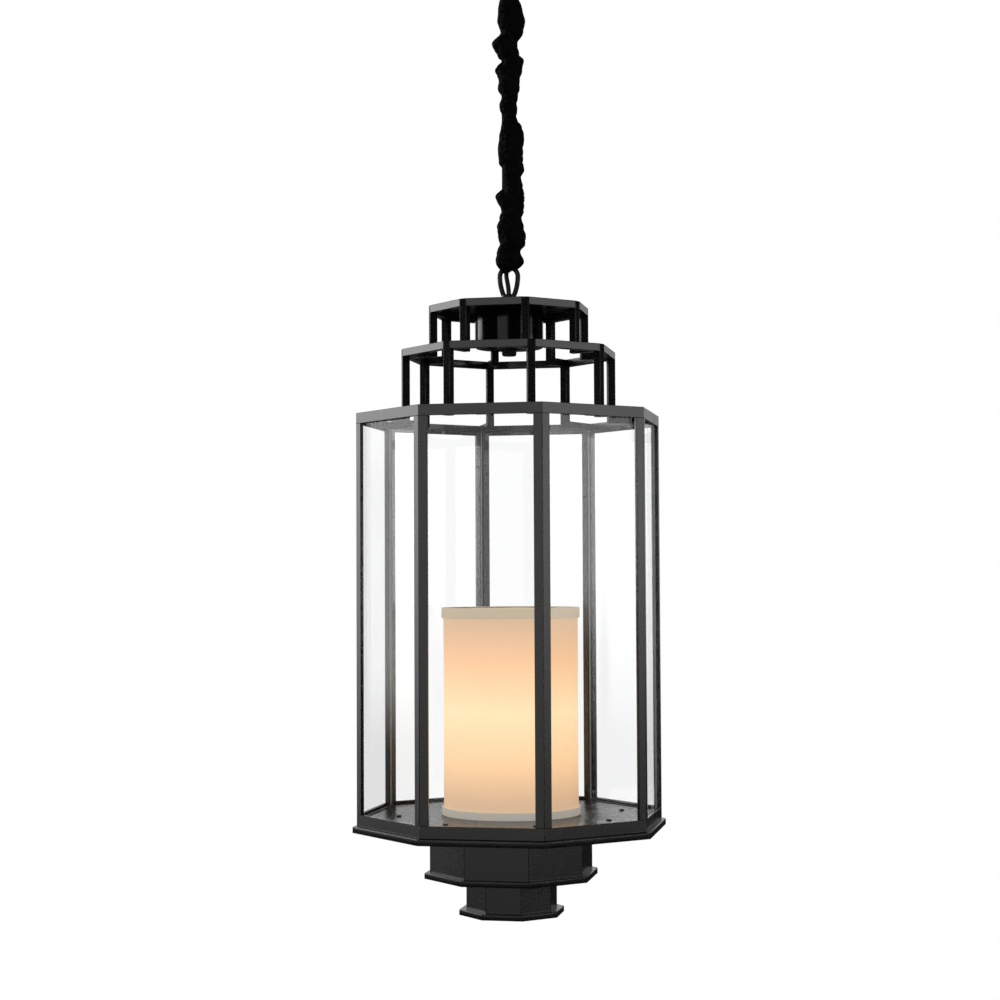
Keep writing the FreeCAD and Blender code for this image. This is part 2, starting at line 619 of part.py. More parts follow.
CANISTER_IN = "(Sizes.canister_radius-Sizes.canister_wall)"
CANISTER_SHEET_TOP = f"({CANISTER_BOTTOM}+Sizes.canister_wall)"
turned("canister", [
    (STEM_BORE, CANISTER_BOTTOM),
    ("(Sizes.canister_radius-Sizes.canister_edge)", CANISTER_BOTTOM),
    ("Sizes.canister_radius", f"({CANISTER_BOTTOM}+Sizes.canister_edge)"),
    ("Sizes.canister_radius", CANISTER_TOP),
    (CANISTER_IN, CANISTER_TOP),
    (CANISTER_IN, f"({CANISTER_SHEET_TOP}+Sizes.canister_edge)"),
    (f"({CANISTER_IN}-Sizes.canister_edge)", CANISTER_SHEET_TOP),
    (STEM_BORE, CANISTER_SHEET_TOP),
])
nut("canister_nut", "(2*Sizes.canister_nut)", STEM_THREAD, f"({CANISTER_BOTTOM}-Sizes.canister_nut_rise)",
    CANISTER_BOTTOM)

# ---------------------------------------------------------------- crown
HALF_BAR = "(Sizes.bar_side/2)"
bars("tier2_rails", flat_bar(tier2_flat, "Sizes.bar_side", HALF_BAR), f"({TOP}-Sizes.bar_side)", TOP)
bars("tier2_posts", block(f"({TIER2_OUT}-Sizes.bar_side)", TIER2_OUT, "Sizes.bar_side"),
     f"({TIER1_TOP}-Sizes.bar_side)", TOP, FLAT_TURN)
bars("tier2_spokes", block(TIER2_OUT, f"({TIER1_OUT}-Sizes.bar_side)", "Sizes.bar_side"),
     f"({TIER1_TOP}-Sizes.bar_side)", TIER1_TOP, FLAT_TURN)
bars("tier1_rails", flat_bar(tier1_flat, "Sizes.bar_side", HALF_BAR), f"({TIER1_TOP}-Sizes.bar_side)", TIER1_TOP)
bars("tier1_posts", block(f"({TIER1_OUT}-Sizes.bar_side)", TIER1_OUT, "Sizes.bar_side"),
     f"({BODY_TOP}-Sizes.bar_side)", TIER1_TOP, FLAT_TURN)
RAIL_CORNER = f"(Sizes.body_radius-Sizes.frame_depth/{SHARE:.8f}-{POST_BACK})"
bars("tier1_spokes", block(TIER1_OUT, RAIL_CORNER, "Sizes.bar_side"),
     f"({BODY_TOP}-Sizes.bar_side)", BODY_TOP, FLAT_TURN)

# ---------------------------------------------------------------- glazed body
bars("top_rails", flat_bar(FRAME_FLAT, "Sizes.frame_depth", "0.02"), f"({BODY_TOP}-Sizes.top_rail)", BODY_TOP)
bars("bottom_rails", flat_bar(FRAME_FLAT, "Sizes.frame_depth", "0.02"), BODY_BOTTOM,
     f"({BODY_BOTTOM}+Sizes.bottom_rail)")


def stile(side):
    """The outline of the upright beside a corner, on one end of a flat."""
    inner = f"({FRAME_FLAT}-Sizes.frame_depth)"
    edge = f"({SLOPE:.8f}*{FRAME_FLAT}-Sizes.stile)"
    corners = [
        (FRAME_FLAT, f"{side}{edge}"),
        (FRAME_FLAT, f"{side}({SLOPE:.8f}*{FRAME_FLAT}-Sizes.seam/2)"),
        (inner, f"{side}({SLOPE:.8f}*{inner}-Sizes.seam/2)"),
        (inner, f"{side}{edge}"),
    ]
    return corners if side == "" else corners[::-1]


STILE_LOW = f"({BODY_BOTTOM}+Sizes.bottom_rail)"
STILE_HIGH = f"({BODY_TOP}-Sizes.top_rail)"
bars("stiles_left", stile(""), STILE_LOW, STILE_HIGH)
bars("stiles_right", stile("-"), STILE_LOW, STILE_HIGH)

GLASS_LOW = f"({BASE_TOP}+0.5)"
GLASS_HIGH = f"({BODY_TOP}-Sizes.bar_side-Sizes.glass_gap)"
glass_half = f"({SLOPE:.8f}*{GLASS_IN}-1.5)"
pane_outline = [(GLASS_IN, f"-{glass_half}"), (GLASS_OUT, f"-{glass_half}"),
                (GLASS_OUT, glass_half), (GLASS_IN, glass_half)]
bars("glass_panes", pane_outline, GLASS_LOW, GLASS_HIGH)
bead_out = f"({GLASS_IN}-Sizes.glass_gap)"
bars("glazing_beads", flat_bar(bead_out, "Sizes.bead", "1"), BASE_TOP, f"({BASE_TOP}+Sizes.bead_rise)")
clip_half = "(Sizes.clip_width/2)"
bars("glass_clips", [(f"({bead_out}-2)", f"-{clip_half}"), (bead_out, f"-{clip_half}"),
                     (bead_out, clip_half), (f"({bead_out}-2)", clip_half)],
     f"({BODY_TOP}-Sizes.top_rail)", f"({GLASS_HIGH}+Sizes.clip_over)")

# ---------------------------------------------------------------- floor, pans and boxes
floor = new_body("floor_plate")
pad(floor, "floor", octagon(f"(({BEAD_IN}-Sizes.floor_gap)/{SHARE:.8f})"), FLOOR_UNDER, FLOOR_TOP)
round_pocket(floor, "floor_bore", "(Sizes.rod_radius+0.3)", f"({FLOOR_UNDER}-1)", f"({FLOOR_TOP}+1)")


round_bars("floor_spacers", "Sizes.spacer_radius", SPACER_CIRCLE, BASE_TOP, FLOOR_UNDER)
round_bars("floor_screws", "Sizes.floor_screw", SPACER_CIRCLE, FLOOR_TOP, f"({FLOOR_TOP}+Sizes.floor_screw_head)")


def pan(label, radius, high, low):
    """An octagonal pan of folded sheet, its lip turned down, with the rod's hole in its middle."""
    body = new_body(label)
    whole = pad(body, label, octagon(radius), low, high)
    doc.recompute()
    edge = size("Sizes.pan_edge")
    rims = []
    for number, line in enumerate(whole.Shape.Edges, start=1):
        level = abs(line.BoundBox.ZMax - size(high)) < 0.01 and line.BoundBox.ZLength < 0.01
        if level:
            rims.append(f"Edge{number}")
    rounded = body.newObject("PartDesign::Fillet", f"{label}_edge")
    rounded.Base = (whole, rims)
    rounded.Radius = edge
    rounded.setExpression("Radius", "Sizes.pan_edge")
    doc.recompute()
    inside = octagon(f"({radius}-Sizes.pan_sheet/{SHARE:.8f})")
    pocket(body, f"{label}_inside", inside, low, f"({high}-Sizes.pan_sheet)")
    round_pocket(body, f"{label}_bore", ROD_BORE, f"({low}-1)", f"({high}+1)")
    return body


pan("base_pan", BASE_RADIUS, BASE_TOP, BASE_BOTTOM)
pan("mid_pan", MID_PAN_RADIUS, MID_TOP, MID_BOTTOM)
pan("low_pan", LOW_PAN_RADIUS, LOW_TOP, LOW_BOTTOM)


def drum(label, radius, high, low):
    """The wall of an octagonal box between two pans, with a groove along each corner."""
    body = new_body(label)
    pad(body, label, octagon(radius, first=0.0), low, high)
    pocket(body, f"{label}_inside", octagon(f"({radius}-Sizes.box_sheet/{SHARE:.8f})", first=0.0),
           f"({low}-1)", f"({high}+1)")
    groove = pocket(body, f"{label}_seam", block(f"({radius}-Sizes.box_groove)", f"({radius}+1)", "Sizes.seam"),
                    f"({low}-1)", f"({high}+1)")
    around(body, groove, turn=FLAT_TURN)
    return body


drum("mid_box", "Sizes.mid_box_radius", f"({BASE_TOP}-Sizes.pan_sheet)", MID_TOP)
drum("low_box", "Sizes.low_box_radius", f"({MID_TOP}-Sizes.pan_sheet)", LOW_TOP)

ROD_LOW = f"({LOW_BOTTOM}+Sizes.rod_below)"
turned("tie_rod", [
    ("0", ROD_LOW),
    ("Sizes.rod_radius", ROD_LOW),
    ("Sizes.rod_radius", HOLDER_FOOT),
    ("0", HOLDER_FOOT),
])
LOW_SHEET = f"({LOW_TOP}-Sizes.pan_sheet)"
BASE_SHEET = f"({BASE_TOP}-Sizes.pan_sheet)"
nut("rod_nut_low", "Sizes.nut_width", ROD_THREAD, f"({LOW_SHEET}-Sizes.low_nut_rise)", LOW_SHEET)
nut("rod_nut_base", "Sizes.nut_width", ROD_THREAD, BASE_TOP, f"({BASE_TOP}+Sizes.nut_rise)")
nut("rod_nut_floor", "Sizes.nut_width", ROD_THREAD, FLOOR_TOP, f"({FLOOR_TOP}+Sizes.nut_rise)")
round_bars("base_screws", "Sizes.floor_screw", f"({BASE_RADIUS}-Sizes.base_screw_inset)",
           f"({BASE_SHEET}-Sizes.base_screw_head)", BASE_SHEET)

# ---------------------------------------------------------------- lamp
HOLDER_TOP = f"({HOLDER_FOOT}+Sizes.holder_rise)"
HOLDER_BODY = "(Sizes.holder_radius-Sizes.holder_step)"
HOLDER_FLOOR = f"({HOLDER_FOOT}+Sizes.holder_floor)"
turned("lamp_holder", [
    ("0", HOLDER_FOOT),
    ("(Sizes.holder_radius-Sizes.holder_taper)", HOLDER_FOOT),
    (HOLDER_BODY, f"({HOLDER_FOOT}+Sizes.holder_taper)"),
    (HOLDER_BODY, COLLAR_LOW),
    ("Sizes.holder_radius", COLLAR_LOW),
    ("Sizes.holder_radius", COLLAR_HIGH),
    (HOLDER_BODY, COLLAR_HIGH),
    (HOLDER_BODY, HOLDER_TOP),
    ("Sizes.holder_bore", HOLDER_TOP),
    ("Sizes.holder_bore", HOLDER_FLOOR),
    ("0", HOLDER_FLOOR),
])
RING_LOW = f"({COLLAR_HIGH}+Sizes.ring_wire)"
tube("holder_ring", f"({HOLDER_BODY}+Sizes.bore_gap)", "(Sizes.holder_radius+Sizes.holder_ring_wide)",
     RING_LOW, f"({RING_LOW}+Sizes.holder_ring_rise)")
CAP_LOW = f"({HOLDER_FLOOR}+Sizes.cap_gap)"
CAP_HIGH = f"({CAP_LOW}+Sizes.cap_rise)"
turned("bulb_cap", [
    ("0", CAP_LOW),
    ("Sizes.cap_tip", CAP_LOW),
    ("Sizes.cap_shoulder", f"({CAP_LOW}+Sizes.cap_tip_rise)"),
    ("Sizes.cap_radius", f"({CAP_LOW}+Sizes.cap_tip_rise+1)"),
    ("Sizes.cap_radius", CAP_HIGH),
    ("0", CAP_HIGH),
])
bulb_radius = size("Sizes.bulb_radius")
cap_radius = size("Sizes.cap_radius")
cap_high = size(CAP_HIGH)
globe_centre = cap_high + size("Sizes.bulb_rise") - bulb_radius
flank = FreeCAD.Vector(bulb_radius * math.cos(math.radians(-28)), 0,
                       globe_centre + bulb_radius * math.sin(math.radians(-28)))
crown = FreeCAD.Vector(0, 0, globe_centre + bulb_radius)
shoulder = FreeCAD.Vector(bulb_radius * math.cos(math.radians(31)), 0,
                          globe_centre + bulb_radius * math.sin(math.radians(31)))
throat = FreeCAD.Vector(cap_radius, 0, cap_high)
bulge = (flank + throat) * 0.5 + FreeCAD.Vector(-1.2, 0, 0.8)
profile = Part.Wire([
    Part.LineSegment(FreeCAD.Vector(0, 0, cap_high), throat).toShape(),
    Part.Arc(throat, bulge, flank).toShape(),
    Part.Arc(flank, shoulder, crown).toShape(),
    Part.LineSegment(crown, FreeCAD.Vector(0, 0, cap_high)).toShape(),
])
shaped("bulb_glass", Part.Face(profile).revolve(FreeCAD.Vector(0, 0, 0), FreeCAD.Vector(0, 0, 1), 360))

# ---------------------------------------------------------------- shade
SHADE_IN = "(Sizes.shade_radius-Sizes.shade_cloth)"
tube("shade_cloth", SHADE_IN, "Sizes.shade_radius", FLOOR_TOP, SHADE_TOP)
BAND_IN = "(Sizes.shade_radius+Sizes.band_gap)"
BAND_OUT = "(Sizes.shade_radius+Sizes.band_proud)"
tube("shade_top_band", BAND_IN, BAND_OUT, f"({SHADE_TOP}-Sizes.top_band)", SHADE_TOP)
tube("shade_bottom_band", BAND_IN, BAND_OUT, FLOOR_TOP, f"({FLOOR_TOP}+Sizes.bottom_band)")
ring_wire = size("Sizes.ring_wire")
ring_radius = size(SHADE_IN) - ring_wire / 2 - 0.2
ring_low = size(FLOOR_TOP) + ring_wire / 2
ring_high = size(SHADE_TOP) - ring_wire / 2 - 0.5
shaped("shade_top_ring", Part.makeTorus(ring_radius, ring_wire / 2, FreeCAD.Vector(0, 0, ring_high)))
collar_low = size(COLLAR_HIGH)
collar_radius = size("Sizes.holder_radius+Sizes.holder_step")
carrier = Part.makeTorus(ring_radius, ring_wire / 2, FreeCAD.Vector(0, 0, ring_low))
collar = Part.makeCylinder(collar_radius, ring_wire, FreeCAD.Vector(0, 0, collar_low))
collar_bore = size(f"{HOLDER_BODY}+Sizes.bore_gap")
collar = collar.cut(Part.makeCylinder(collar_bore, ring_wire, FreeCAD.Vector(0, 0, collar_low)))
arms = []
for arm in range(3):
    angle = math.radians(90.0 + arm * 120.0)
    heading = FreeCAD.Vector(math.cos(angle), math.sin(angle), 0)
    low_end = heading * ring_radius + FreeCAD.Vector(0, 0, ring_low)
    high_end = heading * (collar_radius - 0.8) + FreeCAD.Vector(0, 0, collar_low + ring_wire / 2)
    arms.append(Part.makeCylinder(ring_wire / 2, (high_end - low_end).Length, low_end, high_end - low_end))
shaped("shade_carrier", carrier.fuse([collar] + arms).removeSplitter())

# ---------------------------------------------------------------- check and write
doc.recompute()
for item in doc.Objects:
    if "Invalid" in item.State or "Error" in item.State:
        raise RuntimeError(f"{item.Label} failed: {item.State}")
os.makedirs("parts", exist_ok=True)
for label, item in subparts.items():
    shape = item.Shape
    if shape.isNull() or not shape.isValid() or shape.Volume <= 0 or not shape.Solids:
        raise RuntimeError(f"{label} has no valid solid")
    shape.exportStep(os.path.join("parts", f"{label}.step"))
print(len(subparts), "sub-parts written")
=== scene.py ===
import logging
import math
from dataclasses import dataclass
from enum import Enum
from typing import Callable, Dict, List, Optional, Sequence, Tuple, Union

import bmesh
import bpy
from mathutils import Matrix, Vector, noise


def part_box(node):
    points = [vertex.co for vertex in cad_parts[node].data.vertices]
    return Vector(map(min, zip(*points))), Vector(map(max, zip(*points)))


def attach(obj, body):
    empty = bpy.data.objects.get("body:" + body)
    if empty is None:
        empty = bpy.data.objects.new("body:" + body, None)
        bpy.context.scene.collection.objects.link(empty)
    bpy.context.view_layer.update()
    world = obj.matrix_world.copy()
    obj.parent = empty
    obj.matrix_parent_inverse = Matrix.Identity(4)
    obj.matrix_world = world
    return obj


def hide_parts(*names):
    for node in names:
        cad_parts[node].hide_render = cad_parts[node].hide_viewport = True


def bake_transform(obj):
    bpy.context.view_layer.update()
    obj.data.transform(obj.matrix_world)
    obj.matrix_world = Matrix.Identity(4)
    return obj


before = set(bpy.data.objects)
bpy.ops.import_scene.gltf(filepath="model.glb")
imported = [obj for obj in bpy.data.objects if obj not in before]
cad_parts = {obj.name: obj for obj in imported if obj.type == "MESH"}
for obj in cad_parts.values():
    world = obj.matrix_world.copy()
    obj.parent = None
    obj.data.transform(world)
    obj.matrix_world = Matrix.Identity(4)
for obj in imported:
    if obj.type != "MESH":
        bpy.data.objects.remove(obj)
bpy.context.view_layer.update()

log = logging.getLogger("lantern")

MM = 0.001
Colour = Tuple[float, float, float]
Point = Tuple[float, float, float]


class Body(Enum):
    """The rigid bodies that pieces ride on."""

    CEILING = "ceiling"
    TOP_LINK = "top_link"
    CHAIN = "chain"
    BOTTOM_LINK = "bottom_link"
    LANTERN = "lantern"


class Slot(Enum):
    """The record's material slots, as far as pieces made here take them."""

    FRAME = "frame_black"
    CANISTER = "canister_black"
    CHAIN = "chain_black"
    HARDWARE = "hardware"
    GLASS = "glass"
    BULB_CAP = "bulb_cap"
    SHADE = "shade_cloth"
    BAND = "shade_band"
    SLEEVE = "sleeve_cloth"
    CABLE = "cable_black"
    HOLDER = "holder_black"


# ------------------------------------------------------------------ shader graphs
Feed = Union["Wire", float, int, Sequence[float]]


class Wire:
    """A socket in a node graph, which plain arithmetic builds on."""

    def __init__(self, graph: "Graph", socket: bpy.types.NodeSocket) -> None:
        """Hold a socket and the graph that it is in."""
        self.graph = graph
        self.socket = socket

    def __add__(self, other: Feed) -> "Wire":
        """This value plus another."""
        return self.graph.maths("ADD", self, other)

    def __radd__(self, other: Feed) -> "Wire":
        """Another value plus this one."""
        return self.graph.maths("ADD", other, self)

    def __sub__(self, other: Feed) -> "Wire":
        """This value less another."""
        return self.graph.maths("SUBTRACT", self, other)

    def __rsub__(self, other: Feed) -> "Wire":
        """Another value less this one."""
        return self.graph.maths("SUBTRACT", other, self)

    def __mul__(self, other: Feed) -> "Wire":
        """This value times another."""
        return self.graph.maths("MULTIPLY", self, other)

    def __rmul__(self, other: Feed) -> "Wire":
        """Another value times this one."""
        return self.graph.maths("MULTIPLY", other, self)

    def __truediv__(self, other: Feed) -> "Wire":
        """This value over another."""
        return self.graph.maths("DIVIDE", self, other)

    def __pow__(self, other: Feed) -> "Wire":
        """This value to a power."""
        return self.graph.maths("POWER", self, other)

    def sine(self) -> "Wire":
        """The sine of this angle in radians."""
        return self.graph.maths("SINE", self)

    def span(self, low: float, high: float) -> "Wire":
        """Zero below low, one above high and smooth between them."""
        settings = {"interpolation_type": "SMOOTHSTEP"}
        inputs = {"Value": self, "From Min": low, "From Max": high}
        return self.graph.node("ShaderNodeMapRange", settings, inputs)


class Graph:
    """The nodes of one material, or of the world."""

    def __init__(self, name: str, world: bool = False) -> None:
        """Start with no nodes.

        Args:
            name: the material's or the world's name.
            world: whether it is a world.
        """
        self.home = bpy.data.worlds.new(name) if world else bpy.data.materials.new(name)
        self.end = "ShaderNodeOutputWorld" if world else "ShaderNodeOutputMaterial"
        self.home.use_nodes = True
        self.tree = self.home.node_tree
        self.tree.nodes.clear()

    def node(self, kind: str, settings: Optional[Dict] = None, inputs: Optional[Dict] = None,
             output: Union[int, str, None] = 0) -> Optional[Wire]:
        """Add a node.

        Args:
            kind: the node's type.
            settings: its properties, set before its sockets; "stops" are a ramp's places and colours.
            inputs: values or wires, by the socket's name or number.
            output: which output is returned, if any.

        Returns:
            The chosen output.
        """
        made = self.tree.nodes.new(kind)
        for key, value in (settings or {}).items():
            if key == "stops":
                ramp = made.color_ramp
                while len(ramp.elements) < len(value):
                    ramp.elements.new(1.0)
                for element, (place, colour) in zip(ramp.elements, value):
                    element.position = place
                    element.color = (*colour, 1.0)
            else:
                setattr(made, key, value)
        for key, value in (inputs or {}).items():
            socket = made.inputs[key]
            if isinstance(value, Wire):
                self.tree.links.new(value.socket, socket)
            elif hasattr(value, "__len__") and len(socket.default_value) == 4:
                socket.default_value = (*value, 1.0)
            else:
                socket.default_value = value
        return None if output is None else Wire(self, made.outputs[output])

    def maths(self, operation: str, *values: Feed) -> Wire:
        """A Math node on one to three values."""
        return self.node("ShaderNodeMath", {"operation": operation}, dict(enumerate(values)))

    def vector(self, operation: str, *values: Feed) -> Wire:
        """A Vector Math node on one or two vectors."""
        return self.node("ShaderNodeVectorMath", {"operation": operation}, dict(enumerate(values)))

    def mix(self, share: Feed, first: Feed, second: Feed, blend: str = "MIX") -> Wire:
        """Mix two colours.

        Args:
            share: how much of the second colour shows.
            first: the colour at a share of nothing.
            second: the colour at a share of one.
            blend: the way of mixing.

        Returns:
            The mixed colour.
        """
        settings = {"data_type": "RGBA", "blend_type": blend}
        return self.node("ShaderNodeMix", settings, {0: share, 6: first, 7: second}, 2)

    def ramp(self, place: Feed, stops: Sequence[Tuple[float, Colour]]) -> Wire:
        """A colour looked up along a ramp."""
        return self.node("ShaderNodeValToRGB", {"stops": stops}, {0: place})

    def spot(self) -> Wire:
        """The place on the piece, in metres in the lantern's own frame."""
        return self.node("ShaderNodeTexCoord", output="Object")

    def axes(self, vector: Wire) -> Tuple[Wire, Wire, Wire]:
        """The three parts of a vector."""
        made = self.node("ShaderNodeSeparateXYZ", inputs={0: vector})
        outputs = made.socket.node.outputs
        return Wire(self, outputs[0]), Wire(self, outputs[1]), Wire(self, outputs[2])

    def joined(self, x: Feed, y: Feed, z: Feed) -> Wire:
        """A vector made of three values."""
        return self.node("ShaderNodeCombineXYZ", inputs={0: x, 1: y, 2: z})

    def noise(self, scale: float, detail: float = 2.0, roughness: float = 0.5,
              at: Optional[Wire] = None) -> Wire:
        """Smooth noise, from nothing to one.

        Args:
            scale: ripples in a metre.
            detail: octaves.
            roughness: how much the finer octaves weigh.
            at: where it is looked up; the place on the piece if not given.

        Returns:
            The noise value.
        """
        inputs = {"Vector": at or self.spot(), "Scale": scale, "Detail": detail, "Roughness": roughness}
        return self.node("ShaderNodeTexNoise", inputs=inputs)

    def stretched(self, x: float, y: float, z: float) -> Wire:
        """The place on the piece with each axis scaled."""
        return self.vector("MULTIPLY", self.spot(), (x, y, z))

    def bump(self, height: Wire, depth: float, strength: float = 1.0, over: Optional[Wire] = None) -> Wire:
        """A Bump node; depth is in metres."""
        inputs = {"Height": height, "Distance": depth, "Strength": strength}
        if over is not None:
            inputs["Normal"] = over
        return self.node("ShaderNodeBump", inputs=inputs)

    def surface(self, **inputs: Feed) -> Wire:
        """A Principled surface; an underscore in a name stands for a space."""
        named = {key.replace("_", " "): value for key, value in inputs.items()}
        return self.node("ShaderNodeBsdfPrincipled", inputs=named)

    def done(self, shader: Wire) -> Union[bpy.types.Material, bpy.types.World]:
        """Send a shader to the output and hand over the material or world."""
        self.node(self.end, inputs={"Surface": shader}, output=None)
        return self.home


# ------------------------------------------------------------------ finishes
@dataclass(frozen=True)
class PowderCoat:
    """Satin black powder coat: fine orange peel, a little dust, edges rubbed a shade lighter."""

    name: str = "satin_black_powder_coat"
    black: Colour = (0.0035, 0.0035, 0.0038)
    dust: Colour = (0.0090, 0.0090, 0.0094)
    rubbed: Colour = (0.030, 0.030, 0.031)
    roughness: float = 0.27

    def make(self) -> bpy.types.Material:
        """The material."""
        graph = Graph(self.name)
        cloud = graph.noise(14.0, 4.0, 0.6)
        grain = graph.noise(420.0, 3.0, 0.6)
        edge = graph.node("ShaderNodeAttribute", {"attribute_name": "rubbed"}, output="Fac")
        worn = edge * graph.noise(60.0, 3.0, 0.7).span(0.42, 0.72)
        colour = graph.mix(cloud.span(0.35, 0.75) * 0.6, self.black, self.dust)
        colour = graph.mix(worn * 0.55, colour, self.rubbed)
        roughness = self.roughness + (cloud - 0.5) * 0.07 + (grain - 0.5) * 0.08 + worn * 0.1
        peel = graph.bump(graph.noise(900.0, 2.0, 0.5), 0.00004, 0.25)
        normal = graph.bump(graph.noise(70.0, 2.0, 0.5), 0.0002, 0.10, peel)
        return graph.done(graph.surface(
            Base_Color=colour, Roughness=roughness, Normal=normal, IOR=1.5))


@dataclass(frozen=True)
class Enamel:
    """Gloss black enamel with faint sag waves and specks of dust in the paint."""

    name: str = "gloss_black_enamel"
    black: Colour = (0.0015, 0.0015, 0.0017)
    speck: Colour = (0.03, 0.03, 0.03)
    roughness: float = 0.09

    def make(self) -> bpy.types.Material:
        """The material."""
        graph = Graph(self.name)
        specks = graph.noise(700.0, 1.0, 0.4).span(0.74, 0.78)
        colour = graph.mix(specks * 0.5, self.black, self.speck)
        smears = graph.noise(1.0, 4.0, 0.6, graph.stretched(45.0, 45.0, 12.0))
        roughness = self.roughness + smears.span(0.4, 0.8) * 0.14
        normal = graph.bump(graph.noise(38.0, 2.0, 0.5), 0.0003, 0.35)
        return graph.done(graph.surface(
            Base_Color=colour, Roughness=roughness, Normal=normal, IOR=1.28))


@dataclass(frozen=True)
class DarkSteel:
    """Blackened or lacquered steel, mottled, with bare metal just showing on what rubs."""

    name: str
    dark: Colour = (0.006, 0.006, 0.0065)
    bare: Colour = (0.055, 0.052, 0.049)
    roughness: float = 0.3
    metal: float = 0.25

    def make(self) -> bpy.types.Material:
        """The material."""
        graph = Graph(self.name)
        mottle = graph.noise(95.0, 4.0, 0.62)
        scratch = graph.noise(1.0, 3.0, 0.7, graph.stretched(260.0, 260.0, 40.0)).span(0.60, 0.72)
        colour = graph.mix(mottle.span(0.45, 0.75) * 0.35 + scratch * 0.25, self.dark, self.bare)
        roughness = self.roughness + (mottle - 0.5) * 0.25
        normal = graph.bump(graph.noise(480.0, 3.0, 0.6), 0.00005, 0.5)
        metallic = self.metal + mottle.span(0.4, 0.7) * 0.3
        return graph.done(graph.surface(
            Base_Color=colour, Roughness=roughness, Metallic=metallic, Normal=normal, IOR=1.5))


@dataclass(frozen=True)
class Zinc:
    """Bright zinc plate with soft spangle and fine drawing lines."""

    name: str = "zinc_plate"
    light: Colour = (0.62, 0.62, 0.60)
    dull: Colour = (0.38, 0.38, 0.37)

    def make(self) -> bpy.types.Material:
        """The material."""
        graph = Graph(self.name)
        spangle = graph.node(
            "ShaderNodeTexVoronoi", inputs={"Vector": graph.spot(), "Scale": 240.0}, output="Distance")
        film = graph.noise(35.0, 3.0, 0.6)
        colour = graph.mix(film.span(0.4, 0.8) * 0.5 + spangle * 0.3, self.light, self.dull)
        roughness = 0.28 + film * 0.18
        normal = graph.bump(graph.noise(1.0, 2.0, 0.5, graph.stretched(60.0, 60.0, 1500.0)), 0.00003, 0.5)
        return graph.done(graph.surface(Base_Color=colour, Roughness=roughness, Metallic=1.0, Normal=normal))


@dataclass(frozen=True)
class Moulding:
    """Moulded plastic with a fine spark-eroded grain."""

    name: str
    colour: Colour
    shade: Colour
    roughness: float = 0.42

    def make(self) -> bpy.types.Material:
        """The material."""
        graph = Graph(self.name)
        cloud = graph.noise(50.0, 3.0, 0.5)
        grain = graph.noise(1300.0, 2.0, 0.5)
        colour = graph.mix(cloud.span(0.3, 0.8) * 0.6, self.colour, self.shade)
        return graph.done(graph.surface(
            Base_Color=colour, Roughness=self.roughness + (grain - 0.5) * 0.2,
            Normal=graph.bump(grain, 0.00005, 0.5)))


@dataclass(frozen=True)
class Rubber:
    """A cable's sheath, faintly ribbed by the cores twisted inside it."""

    name: str = "black_sheath"
    black: Colour = (0.012, 0.012, 0.013)
    bloom: Colour = (0.035, 0.035, 0.036)

    def make(self) -> bpy.types.Material:
        """The material."""
        graph = Graph(self.name)
        bloom = graph.noise(120.0, 4.0, 0.6)
        x, y, z = graph.axes(graph.spot())
        twist = ((z * 420.0 + x * 260.0 + y * 260.0)).sine() * 0.5 + 0.5
        colour = graph.mix(bloom.span(0.5, 0.8) * 0.5, self.black, self.bloom)
        normal = graph.bump(twist * 0.6 + bloom * 0.4, 0.00018, 0.5)
        return graph.done(graph.surface(Base_Color=colour, Roughness=0.38 + bloom * 0.2, Normal=normal))


@dataclass(frozen=True)
class Velvet:
    """Gathered black cloth with a soft nap that lightens at a glancing view."""

    name: str = "black_sleeve_cloth"
    deep: Colour = (0.0015, 0.0015, 0.0017)
    nap: Colour = (0.0036, 0.0036, 0.0039)

    def make(self) -> bpy.types.Material:
        """The material."""
        graph = Graph(self.name)
        pile = graph.noise(900.0, 3.0, 0.7)
        brushed = graph.noise(1.0, 3.0, 0.6, graph.stretched(70.0, 70.0, 30.0))
        colour = graph.mix(brushed.span(0.4, 0.75) * 0.7, self.deep, self.nap)
        threads = graph.noise(1.0, 2.0, 0.6, graph.stretched(700.0, 700.0, 2600.0))
        normal = graph.bump(pile * 0.5 + threads * 0.5, 0.0002, 0.6)
        return graph.done(graph.surface(
            Base_Color=colour, Roughness=0.72 + (pile - 0.5) * 0.2, Normal=normal, Sheen_Weight=0.01,
            Sheen_Roughness=0.4, Specular_IOR_Level=0.06))


